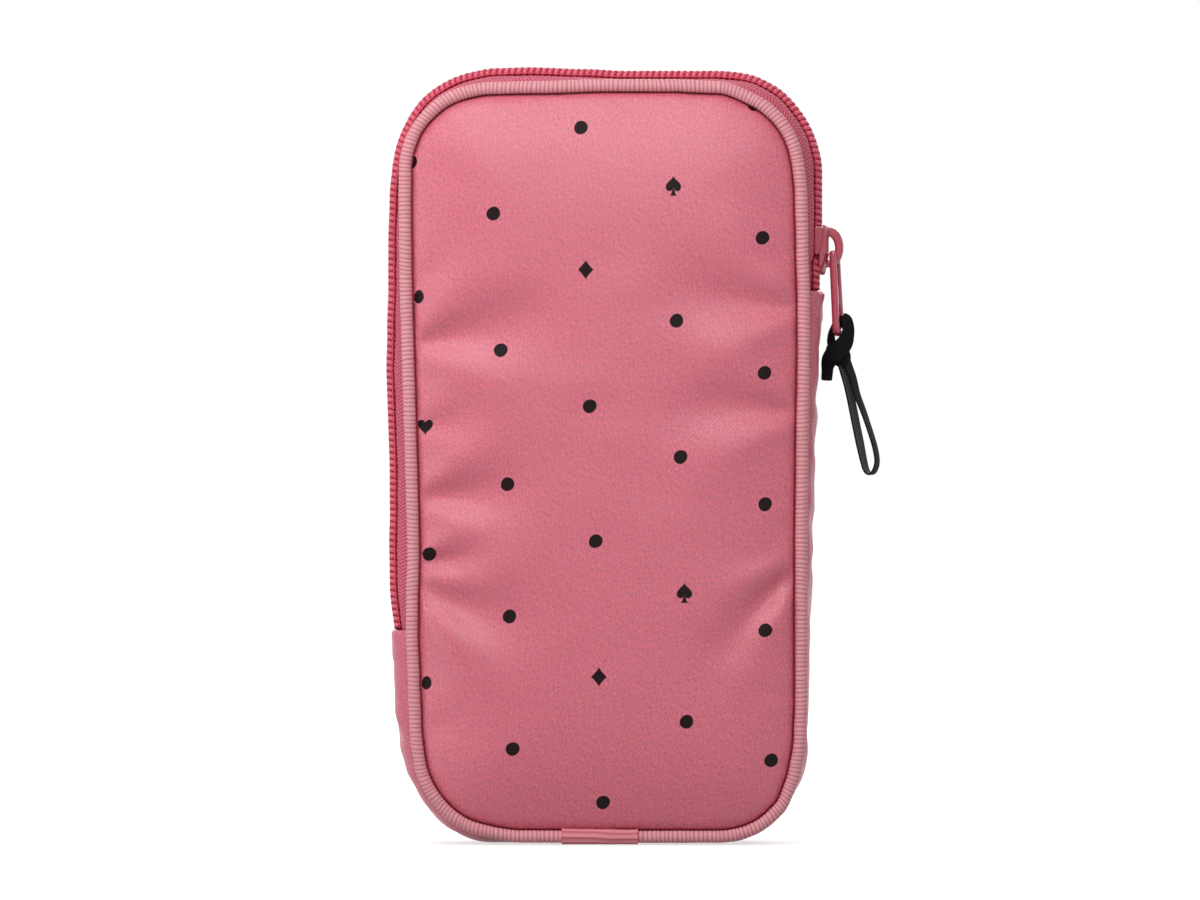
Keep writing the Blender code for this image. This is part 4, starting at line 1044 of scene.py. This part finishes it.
def coil_piece(name, side):
    """One row of the coil: wound wire that meshes with the other row, its core, dark as painted
    shade between the loops, and stitches.
    """
    fine, along, teeth = chain_stops()
    offset = 0.5 if side > 0 else 0.0

    def row(per_tooth):
        """Teeth counted along the row, their shares, how far they part, and their crest."""
        count = np.arange(teeth * per_tooth + 1) / per_tooth
        share = np.interp(count / teeth * along[-1], along, fine)
        part, end = parted(share)
        apart = part * ROWS_APART
        return count, share, apart, end, bulge(share) - COIL_SINK * part - END_SINK * end

    count, share, apart, end, crest = row(TURN_POINTS)
    angle = 2 * pi * (count + offset)
    reach = COIL_HEAD + COIL_HALF_REACH + COIL_HALF_REACH * -np.cos(angle) + apart + 0.0002 * end
    swing = np.sin(angle)
    rise = (COIL_RISE / 2 - COIL_WIRE + 0.00002) * np.sign(swing) * np.abs(swing) ** 0.8
    path = around(share, crest - COIL_RISE / 2 + rise, side * reach)
    run = unit(around(share + 1e-4, 0.0, 0.0) - around(share, 0.0, 0.0))
    thick = np.stack([0.88 + 0.55 * (1 - np.cos(angle)) / 2, np.ones(len(angle))], axis=1)
    wire = sweep(path, run, oval(COIL_WIRE, COIL_WIRE, 8), thick)
    parts = [grid(wire, count * TOOTH_PITCH, 0.0022)]

    count, share, apart, end, crest = row(2)
    # the core is seen between the loops and carries their painted shade
    core = around(share, crest - COIL_RISE / 2 - 0.00004,
                  side * (COIL_HEAD + COIL_HALF_REACH + apart))
    out = around(share, 0.001, 0.0) - around(share, 0.0, 0.0)
    section = oval(COIL_RISE / 2 - 0.00021, COIL_HALF_REACH * 0.98, 10, 2.6)
    parts.append(grid(sweep(core, out, section), count * TOOTH_PITCH, 0.004, slot=1))

    count, share, apart, end, crest = row(8)
    bump = np.abs(np.cos(pi * (count + offset + 0.1))) - 0.65
    slant = 0.00016 * np.sin(2 * pi * (count + offset))
    for lane, past, height, amount in STITCH_LANES:
        reach = lane * 2 * COIL_HALF_REACH + COIL_HEAD + past + slant + apart
        line = around(share, crest - COIL_RISE * (1 - height) - 0.00014 + amount * bump,
                      side * reach)
        stitches = sweep(line, (0, 1, 0), oval(0.0002, 0.00016, 6))
        parts.append(grid(stitches, count * TOOTH_PITCH, 0.001, slot=2))
    return assemble(name, parts, [COIL, CORE_SHADE, THREAD])


# ---- slider and pull
PLATE_WIDTHS = ((0, 0.34), (0.04, 0.5), (0.1, 0.68), (0.2, 0.9), (0.34, 1.0), (0.6, 0.96),
                (0.9, 0.95), (0.96, 0.91), (1.0, 0.8))


def rounding(rows, span):
    """A quarter round at both ends of rows of shares, 0 at the ends and 1 beyond a span."""
    end = np.clip(np.minimum(rows, 1 - rows) / span, 0, 1)
    return np.sqrt(1 - (1 - end) ** 2)


def plate_width(rows):
    """Half width of the slider's plates up their length, nose at 0."""
    return np.interp(rows, *zip(*PLATE_WIDTHS)) * SLIDER_HALF_WIDTH


def inner_plate(top):
    """The slider's inner plate, flat with rounded edges, below a height."""
    rows = np.concatenate([[0.0, 0.008], np.linspace(0.025, 0.975, 34), [0.992, 1.0]])[:, None]
    soft = rounding(rows, 0.035)
    angle = np.linspace(0, 2 * pi, 36, endpoint=False)
    c, s = np.cos(angle), np.sin(angle)
    y = np.sign(c) * np.abs(c) ** 0.35 * (plate_width(rows) - 0.0004 * (1 - soft))
    x = np.sign(s) * np.abs(s) ** 0.55 * SLIDER_INNER_PLATE / 2 * np.maximum(soft, 0.12)
    rings = spots(top - SLIDER_INNER_PLATE / 2 + x, y, SLIDER_FOOT + rows * SLIDER_LENGTH)
    return grid(rings, rows * SLIDER_LENGTH, 0.02)


def outer_plate():
    """The slider's outer plate: domed, with its long edges turned down beside the coil."""
    rows = np.concatenate([[0.0, 0.006, 0.02], np.linspace(0.05, 0.95, 30),
                           [0.98, 0.994, 1.0]])[:, None]
    soft = rounding(rows, 0.045)
    across = np.sin(np.linspace(-pi / 2, pi / 2, 25)) * 0.965
    turned = 0.0002 + PLATE_TURN * (1 - ease(0.3, 0.95, rows))
    fall = PLATE_FALL * np.maximum(0.0, 1 - rows / 0.42) ** 1.2
    low_fall = 0.2 * fall
    under = CHAIN_X + GAP - turned * np.abs(across) ** 4 - low_fall
    edge = CHAIN_X + GAP - turned - low_fall
    ridge = PLATE_TOP + 0.0001 - fall
    top = ridge - (ridge - edge - 0.0006) * np.abs(across) ** 2.4
    middle, shrink = (top + under) / 2, 0.25 + 0.75 * soft
    top, under = middle + (top - middle) * shrink, middle + (under - middle) * shrink
    rim = (edge + 0.0003) + np.array((0.00017, -0.00017)) * shrink
    x = np.concatenate([top, rim, under[:, ::-1], rim[:, ::-1]], axis=1)
    ways = np.concatenate([across, [1, 1], across[::-1], [-1, -1]])
    y = ways * (plate_width(rows) - 0.0003 * (1 - soft))
    rings = spots(x, y, SLIDER_FOOT + rows * SLIDER_LENGTH)
    return grid(rings, rows * SLIDER_LENGTH, 0.02)


def slider_piece():
    """The slider: two plates joined by a post, with a wall down each side of the channel."""
    inner_top = CHAIN_X - COIL_HEIGHT - 2 * GAP - TAPE_WALL
    parts = [outer_plate(), inner_plate(inner_top)]
    low = SLIDER_FOOT + SLIDER_LENGTH * (1 - SLIDER_SIDE_SHARE)
    high = SLIDER_FOOT + SLIDER_LENGTH - 0.0005
    rows = np.concatenate([[0, 0.02], np.linspace(0.06, 0.94, 8), [0.98, 1]])[:, None]
    soft = 0.8 + 0.2 * rounding(rows, 0.06)
    wall_low, wall_high = CHAIN_X - COIL_HEIGHT, CHAIN_X + GAP + SLIDER_OUTER_PLATE / 2
    wall = oval((wall_high - wall_low) / 2, SLIDER_SIDE_WALL / 2, 20, 7.0)
    for hand in (-1, 1):
        y = hand * (COIL_HALF_WIDTH + GAP + SLIDER_SIDE_WALL / 2)
        rings = spots((wall_low + wall_high) / 2 + wall[:, 0] * soft, y + wall[:, 1] * soft,
                      low + (high - low) * rows)
        parts.append(grid(rings, rows * 0.008, 0.008))
    post = np.linspace(inner_top - 0.0003, CHAIN_X + GAP + 0.0003, 4)[:, None]
    ring = oval(SLIDER_POST_RADIUS, SLIDER_POST_RADIUS, 16)
    rings = spots(post, ring[:, 0], SLIDER_FOOT + SLIDER_POST_STAND + ring[:, 1])
    parts.append(grid(rings, post, 0.005))
    return assemble("slider_shell", parts, [METAL])


def bail_piece():
    """The arch: a rounded bar bent to a D, on the slider's plate."""
    steps = np.linspace(0, 1, 46)
    angle = pi / 2 - pi * steps
    foot = PLATE_TOP - 0.0002 - 0.0011 * ease(0.8, 1.0, steps)
    path = spots(foot + (BAIL_REACH - 0.00098) * np.cos(angle) ** 0.9, 0.0,
                 SLIDER_FOOT + BAIL_MIDDLE + (BAIL_RISE - 0.00112) * np.sin(angle))
    thick = np.interp(steps, (0, 0.15, 0.5, 0.8, 1), (1.1, 1.06, 0.94, 0.9, 0.8))
    heading = headings(path)
    rings = lay(path, spots(-heading[:, 2], 0.0, heading[:, 0]), np.array([[0, 1.0, 0]]),
                oval(0.00114, BAIL_HALF_WIDTH, 24, 3.2), np.stack([thick, thick ** 0], axis=1))
    return assemble("slider_arch", [grid(rings, steps * 0.012, 0.006)], [METAL])


def ellipse_points(half_across, half_up, across, up, start, end, steps):
    """Points of an ellipse about (across, up), from one angle to another."""
    return [(across + half_across * cos(angle), up + half_up * sin(angle))
            for angle in np.linspace(start, end, steps + 1)]


def plate_curve(name, outline, thickness, bevel):
    """A flat plate of the pull with rounded edges, from its closed outline."""
    curve = bpy.data.curves.new(name, "CURVE")
    curve.dimensions, curve.fill_mode = "2D", "BOTH"
    curve.extrude = thickness / 2 - bevel
    curve.bevel_depth, curve.bevel_resolution, curve.offset = bevel, 3, -bevel
    spline = curve.splines.new("POLY")
    spline.points.add(len(outline) - 1)
    for point, (across, up) in zip(spline.points, outline):
        point.co = (across, up, 0, 1)
    spline.use_cyclic_u = True
    holder = add(name, curve)
    mesh = evaluated_mesh(holder)
    bpy.data.objects.remove(holder, do_unlink=True)
    stand = Matrix(((0, 0, 1, 0), (1, 0, 0, 0), (0, 1, 0, 0), (0, 0, 0, 1)))
    shape = bmesh.new()
    shape.from_mesh(mesh)
    bmesh.ops.remove_doubles(shape, verts=shape.verts, dist=1e-6)
    bmesh.ops.transform(shape, matrix=PULL @ stand, verts=shape.verts)
    bmesh.ops.recalc_face_normals(shape, faces=shape.faces)
    shape.to_mesh(mesh)
    shape.free()
    mesh.materials.clear()
    mesh.materials.append(METAL)
    mesh.polygons.foreach_set("use_smooth", np.ones(len(mesh.polygons), bool))
    mesh.set_sharp_from_angle(angle=radians(38))
    return add(name, mesh)


def pull_piece():
    """The tab: rails joined by a round bar and a thin recessed web, over a round foot's eye."""
    head = PULL_THICKNESS / 2 * 1.25
    foot_rise = PULL_FOOT_HALF * 0.75
    half, shift = (PULL_TOP_HALF - PULL_WINDOW_HALF) / 2, (PULL_TOP_HALF + PULL_WINDOW_HALF) / 2
    right, left = (ellipse_points(half, head, way * shift, 0, 0, pi, 8) for way in (1, -1))
    neck = [(PULL_WINDOW_HALF, -PULL_WEB_DROP), (PULL_EYE_HALF, -PULL_WEB_DROP - 0.0022)]
    eye = ellipse_points(PULL_EYE_HALF, 0.0011, 0, -PULL_EYE_DROP + 0.0011, 0, -pi, 14)
    foot = ellipse_points(PULL_FOOT_HALF, foot_rise, 0, -PULL_DROP + foot_rise, -pi, 0, 26)
    outline = right + neck + eye + [(-x, z) for x, z in neck[::-1]] + left + foot
    rails = plate_curve("pull_frame", outline, PULL_THICKNESS + 0.0004, 0.0005)
    local = apply(PULL.inverted(), np.array([tuple(vert.co) for vert in rails.data.vertices]))
    over = np.clip((local[:, 2] + 0.0003) / (head + 0.0003), 0, 1)
    beneath = np.clip((-PULL_DROP + 0.0016 - local[:, 2]) / 0.0016, 0, 1)
    local[:, 0] *= np.sqrt(1 - 0.8 * over ** 2) * np.sqrt(1 - 0.6 * beneath ** 2)
    rails.data.vertices.foreach_set("co", apply(PULL, local).astype(np.float32).ravel())
    half, low = PULL_WINDOW_HALF + 0.0004, -PULL_WEB_DROP - 0.0006
    outline = (ellipse_points(half, 0.0004, 0, -PULL_WINDOW_DROP, pi, 2 * pi, 8) + [(half, low)]
               + ellipse_points(half, 0.0013, 0, low - 0.0006, 0, pi, 12) + [(-half, low)])
    web = plate_curve("pull_web", outline, 0.0008, 0.00012)
    steps = np.linspace(-1, 1, 12)[:, None]
    ring = oval(PULL_BAR_RADIUS, PULL_BAR_RADIUS, 16)
    rings = apply(PULL, spots(ring[:, 0], steps * (PULL_WINDOW_HALF + 0.0005), ring[:, 1]))
    bar = assemble("pull_bar", [grid(rings, steps * 0.003, 0.003)], [METAL])
    bpy.ops.object.select_all(action="DESELECT")
    for piece in (rails, web, bar):
        piece.select_set(True)
    bpy.context.view_layer.objects.active = rails
    bpy.ops.object.join()
    return rails


# ---- ribbon: its bands pass through points (photo pixels across and down, depth in metres)
KNOT_BANDS = (
    # The front turn with the cut tail
    (((839.5, 318, 0.0006), (842.5, 317.5, -0.0004), (845.6, 323, -0.0012), (846.2, 333, -0.0016),
      (843.4, 342, -0.0022), (836.5, 350.5, -0.0027), (829.5, 357.5, -0.0023),
      (826.0, 364.5, -0.0013), (825.0, 372, -0.0006), (824.4, 380, -0.0003)),
     0.0042, 0.00075, 64, 0.00014,
     ((0, 0.55), (0.1, 0.68), (0.28, 0.78), (0.42, 0.95), (0.6, 1.12), (0.74, 0.95), (0.85, 0.72),
      (1, 0.66)),
     ((0.5, -0.8, 0.3), (0.55, -0.8, 0.2), (0.45, -0.88, 0), (0.2, -0.95, -0.1), (0.0, -1, 0.05),
      (-0.05, -1, 0.1), (0.0, -1, 0.0))),
    # The turn at the left
    (((838.5, 320, 0.0012), (833.0, 322, 0.0021), (828.2, 330, 0.0016), (827.4, 339, 0.0006),
      (829.8, 347, -0.0002), (834, 354, -0.0006)),
     0.0034, 0.0008, 44, 0.0001, ((0, 0.7), (0.4, 0.9), (0.75, 0.95), (1, 0.8)),
     ((-0.4, -0.7, 0.4), (-0.8, -0.6, 0.3), (-0.75, -0.75, 0.0), (-0.6, -0.8, 0.0))),
    # The turn behind
    (((842.0, 320, 0.0014), (846.5, 330, 0.0014), (845.2, 341, 0.0012), (840.0, 350, 0.0009),
      (834, 357, 0.0008)),
     0.0034, 0.0007, 40, 0.0001, ((0, 0.7), (0.5, 0.85), (1, 1.0)),
     ((0.6, 0.8, 0.2), (0.8, 0.6, 0), (0.4, 0.9, -0.2), (0.1, 1, 0))))
LOOP_POINTS = (
    (837.5, 360), (841.0, 371), (845.8, 386), (850.6, 404), (855.4, 424), (860.0, 444),
    (863.4, 460), (866.2, 470), (870.2, 474.3), (874.6, 470.5), (877.0, 461), (874.8, 447),
    (869.4, 430), (862.6, 412), (855.0, 394), (850.2, 378), (845.6, 366), (842.0, 357))
BAND_POINTS = 26


def strap_point(px, py, depth=0.0):
    """A point of the ribbon, in its own frame."""
    aside = 3.0 * (1 - ease(350, 450, py))
    x = (px + aside - 600) * PHOTO_PIXEL + VIEW_X
    z = (450 - py) * PHOTO_PIXEL + 0.09847
    spot = np.linalg.inv(np.array(STRAP)) @ (x, STRAP.translation.y, z, 1)
    return (spot[0], spot[1] + depth, spot[2])


def ribbon_section(width, wall, count, crimp=0.0):
    """A flat band's section with rounded edges, crimped into shallow folds."""
    section = oval(wall / 2, width / 2, count, 5.0)
    section[:, 0] += crimp * np.cos(section[:, 1] / width * 2 * pi * 1.5)
    return section


def band(rows, width, wall, count, crimp, widths, facings):
    """A band of ribbon through points, with shares of its width, and the ways that it faces."""
    path = smooth_path([strap_point(*row) for row in rows], count)
    at = np.linspace(0, 1, count)
    turns = np.linspace(0, 1, len(facings))
    facing = np.stack([np.interp(at, turns, ways) for ways in zip(*facings)], axis=1)
    scales = np.stack([np.ones(count), np.interp(at, *zip(*widths))], axis=1)
    rings = sweep(path, facing, ribbon_section(width, wall, BAND_POINTS, crimp), scales)
    return grid(apply(STRAP, rings), path_length(path), 2 * width)


def knot_piece():
    """The ribbon's turns through the eye, the wrap of the knot and the cut tail."""
    parts = [band(*values) for values in KNOT_BANDS]
    spot = np.arange(BAND_POINTS)
    fray = np.sin(spot * 2.7) * 0.6 + np.sin(spot * 5.1 + 1) * 0.4
    parts[0][0][-BAND_POINTS:, 2] += FRAY * fray
    steps = np.linspace(0.02, pi - 0.02, 26)[:, None]
    turn = np.linspace(0, 2 * pi, 40, endpoint=False)
    creases = (1 + 0.035 * np.cos(3 * turn + 2.2 * np.cos(steps))
               + 0.02 * np.cos(7 * turn + 3 * steps))
    half_x, half_y, half_z = KNOT_HALF_SIZES
    wrap = spots(half_x * np.sin(steps) * np.cos(turn) * creases,
                 half_y * np.sin(steps) * np.sin(turn) * creases, half_z * np.cos(steps))
    wrap = apply(Matrix.Rotation(radians(-38), 4, "Y"), wrap) + strap_point(835.5, 354.5, -0.0002)
    parts.append(grid(apply(STRAP, wrap), steps * 0.003, 0.016))
    return assemble("ribbon_knot", parts, [RIBBON])


def loop_piece():
    """The long loop of ribbon below the knot, turned a little to show its faces, and its path."""
    path = smooth_path([strap_point(*row) for row in LOOP_POINTS], 150)
    heading = headings(path)
    out = spots(-heading[:, 2], 0.0, heading[:, 0])
    turn = np.interp(np.linspace(0, 1, len(path)), (0, 0.35, 0.55, 0.72, 1),
                     np.radians((18, 18, 6, 8, 20)))
    section = ribbon_section(RIBBON_WIDTH, RIBBON_WALL, 22)
    rings = apply(STRAP, lay(path, out, spots(np.sin(turn), np.cos(turn), 0.0), section))
    points, faces, marks, _ = grid(rings, path_length(path), 2 * RIBBON_WIDTH)
    # the flat inner face takes the grey painted sheen, the rest stays black
    slots = []
    for face in faces:
        out, across = section[[spot % len(section) for spot in face]].mean(0)
        flat = out > 0.0001 and abs(across) < 0.46 * RIBBON_WIDTH
        slots.append(int(flat and len(face) == 4))
    loop = make("ribbon_loop", points, faces, marks, [RIBBON, RIBBON_INSIDE_SHEEN], slots)
    return loop, apply(STRAP, path)


def on_fold(piece, *nodes, slot):
    """Hides the parts that a front piece replaces and bakes its place into its mesh."""
    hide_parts(*nodes)
    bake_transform(piece)


def on_body(piece, body, *nodes, slot):
    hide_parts(*nodes)
    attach(piece, body)


def on_both(front, back, kind, slot):
    """A front piece and its twin at the back."""
    on_fold(front, f"front_{kind}_base", f"front_{kind}_flap", slot=slot)
    on_body(back, "case", f"back_{kind}", slot=slot)


front, front_field = face_piece("front_cloth", -1, FRONT_PRINT, FRONT_FOLDS, 1)
back, back_field = face_piece("back_cloth", 1, back_print(), BACK_FOLDS, 2)
on_both(front, back, "panel", "printed_satin")

sides = ("front", -1, front_field), ("back", 1, back_field)
shift = (CLOTH_WALL + GAP) * LAYER_SPREAD_SHARE
front_pad, back_pad = (
    layer_piece(f"{way}_pad", side, field, shift, PADDING_WALL, FOAM, PADDING_STEP)
    for way, side, field in sides)
on_both(front_pad, back_pad, "padding", "padding")
shift = shift + (PADDING_WALL + GAP) * LAYER_SPREAD_SHARE
front_inner, back_inner = (
    layer_piece(f"{way}_inner", side, field, shift, LINING_WALL, INNER, LINING_STEP)
    for way, side, field in sides)
on_both(front_inner, back_inner, "lining", "lining")

on_both(piping_piece("front_welt", -1, 1), piping_piece("back_welt", 1, 2), "piping",
        "ribbed_piping")
on_both(cord_piece("front_welt_cord", -1), cord_piece("back_welt_cord", 1), "piping_cord",
        "piping_cord")
for seed, (way, side, _) in enumerate(sides, 1):
    on_body(splice_piece(f"{way}_welt_patch", side, seed), "case", f"{way}_piping_splice",
            slot="ribbed_piping")
on_both(binding_piece("front_bias", -1, 1), binding_piece("back_bias", 1, 2), "binding",
        "binding_tape")

right, left, tuck = side_share(ZIP_RIGHT_END), 1 - side_share(ZIP_LEFT_END), HEM_UNDER / ROUND
below = spread(left, 1 + right, SIDE_STEP)
side = side_piece("side_cloth", below, SIDE_HALF, 0.0, SIDE_WALL, SIDE_SATIN, hem=True)
on_body(side, "case", "gusset", slot="plain_satin")
lining_half = SIDE_HALF - BINDING_THICKNESS - 2 * GAP
below_inner = spread(left + 2 * tuck, 1 + right - 2 * tuck, SIDE_STEP)
side_inner = side_piece("side_inner", below_inner, lining_half, SIDE_WALL + GAP,
                        SIDE_LINING_WALL, INNER)
on_body(side_inner, "case", "gusset_lining", slot="lining")

zip_shares = spread(right - tuck, left + tuck, ZIP_STEP)
on_body(tape_piece("tape_rear", 1, zip_shares), "case", "zip_tape_back", slot="zip_tape")
on_fold(tape_piece("tape_front", -1, zip_shares), "zip_tape_front_base", "zip_tape_front_flap",
        slot="zip_tape")
on_body(coil_piece("coil_rear", 1), "case", "zip_coil_back", "zip_coil_back_end", slot="zip_coil")
on_fold(coil_piece("coil_front", -1), "zip_coil_front", "zip_coil_front_end", slot="zip_coil")

on_body(slider_piece(), "slider", "slider_body", slot="painted_metal")
on_body(bail_piece(), "slider", "slider_bail", slot="painted_metal")
on_body(pull_piece(), "pull", "pull_tab", slot="painted_metal")
on_body(knot_piece(), "strap", "strap_knot", slot="black_ribbon")
loop, loop_path = loop_piece()
on_body(loop, "strap", "strap_loop", slot="black_ribbon")


# ---- floor, light and camera
# Each lamp: name, place, the height that it points at, its sides, watts
LAMPS = (("key", (-0.06, -0.4, 0.42), 0.14, 0.35, 0.2, 1.3),
         ("top", (-0.1, -0.3, 0.75), 0.12, 0.5, 0.3, 0.7),
         ("left", (-0.8, -0.25, 0.3), 0.10, 0.5, 0.6, 2.1),
         ("right", (0.8, -0.25, 0.25), 0.10, 0.5, 0.6, 0.3),
         ("rear", (0.1, 0.9, 0.5), 0.10, 0.8, 0.5, 6.5))


def straight_rays(tree):
    """1 for rays from the camera, off a shiny face or through a clear one, and 0 for the rest."""
    rays = node(tree, "ShaderNodeLightPath").outputs
    either = maths(tree, "MAXIMUM", rays["Is Camera Ray"], rays["Is Glossy Ray"])
    return maths(tree, "MAXIMUM", either, rays["Is Transmission Ray"])


def floor():
    """A white floor that keeps the pouch's shadow, grey below it and brighter further out."""
    mesh = bpy.data.meshes.new("floor")
    mesh.from_pydata([(-6, -6, 0), (6, -6, 0), (6, 6, 0), (-6, 6, 0)], [], [(0, 1, 2, 3)])
    piece = add("floor", mesh)
    paint, tree, shader = start_paint("floor", 0.9, 0.1)
    shader.inputs["Base Color"].default_value = (0.5, 0.5, 0.5, 1)
    shader.inputs["Emission Color"].default_value = (1, 1, 1, 1)
    middle = node(tree, "ShaderNodeTexCoord").outputs["Object"]
    reach = node(tree, "ShaderNodeVectorMath", {0: middle}, operation="LENGTH").outputs["Value"]
    glow = ranged(tree, reach, 0.66, 1.0, 0.12, 0.5)
    tree.links.new(maths(tree, "MULTIPLY", straight_rays(tree), glow),
                   shader.inputs["Emission Strength"])
    mesh.materials.append(paint)
    piece.location.z = -0.0002


def world():
    """White to the eye, and dimmer as a light."""
    sky = bpy.data.worlds.new("studio")
    bpy.context.scene.world = sky
    sky.use_nodes = True
    tree = sky.node_tree
    tree.nodes.clear()
    lit, seen = (node(tree, "ShaderNodeBackground", {"Color": (1, 1, 1, 1), "Strength": strength})
                 for strength in (WORLD_LIGHT, 1.0))
    blend = node(tree, "ShaderNodeMixShader", {
        0: straight_rays(tree), 1: lit.outputs[0], 2: seen.outputs[0]})
    node(tree, "ShaderNodeOutputWorld", {"Surface": blend.outputs[0]})


def lamp(name, spot, aim_height, size, size_y, power):
    """A lamp that points at a height on the Z axis."""
    data = bpy.data.lights.new(name, "AREA")
    data.shape = "RECTANGLE"
    data.size, data.size_y, data.energy = size, size_y, power
    piece = add(name, data)
    piece.location = spot
    way = Vector((0, 0, aim_height)) - Vector(spot)
    piece.rotation_euler = way.to_track_quat("-Z", "Y").to_euler()


floor()
world()
for values in LAMPS:
    lamp(*values)

ELEVATION, DISTANCE, VIEW_WIDTH = radians(0.5), 3.0, 0.3
direction = Vector((0, -cos(ELEVATION), sin(ELEVATION)))
camera_data = bpy.data.cameras.new("camera")
camera = add("camera", camera_data)
camera.location = Vector((VIEW_X, -HALF_DEPTH, 0.0986)) + direction * DISTANCE
camera.rotation_euler = (-direction).to_track_quat("-Z", "Y").to_euler()
camera_data.sensor_width = 36
camera_data.lens = 36 * DISTANCE / VIEW_WIDTH
camera_data.clip_start = 0.05
bpy.context.scene.camera = camera
bpy.context.scene.view_settings.view_transform = "Standard"
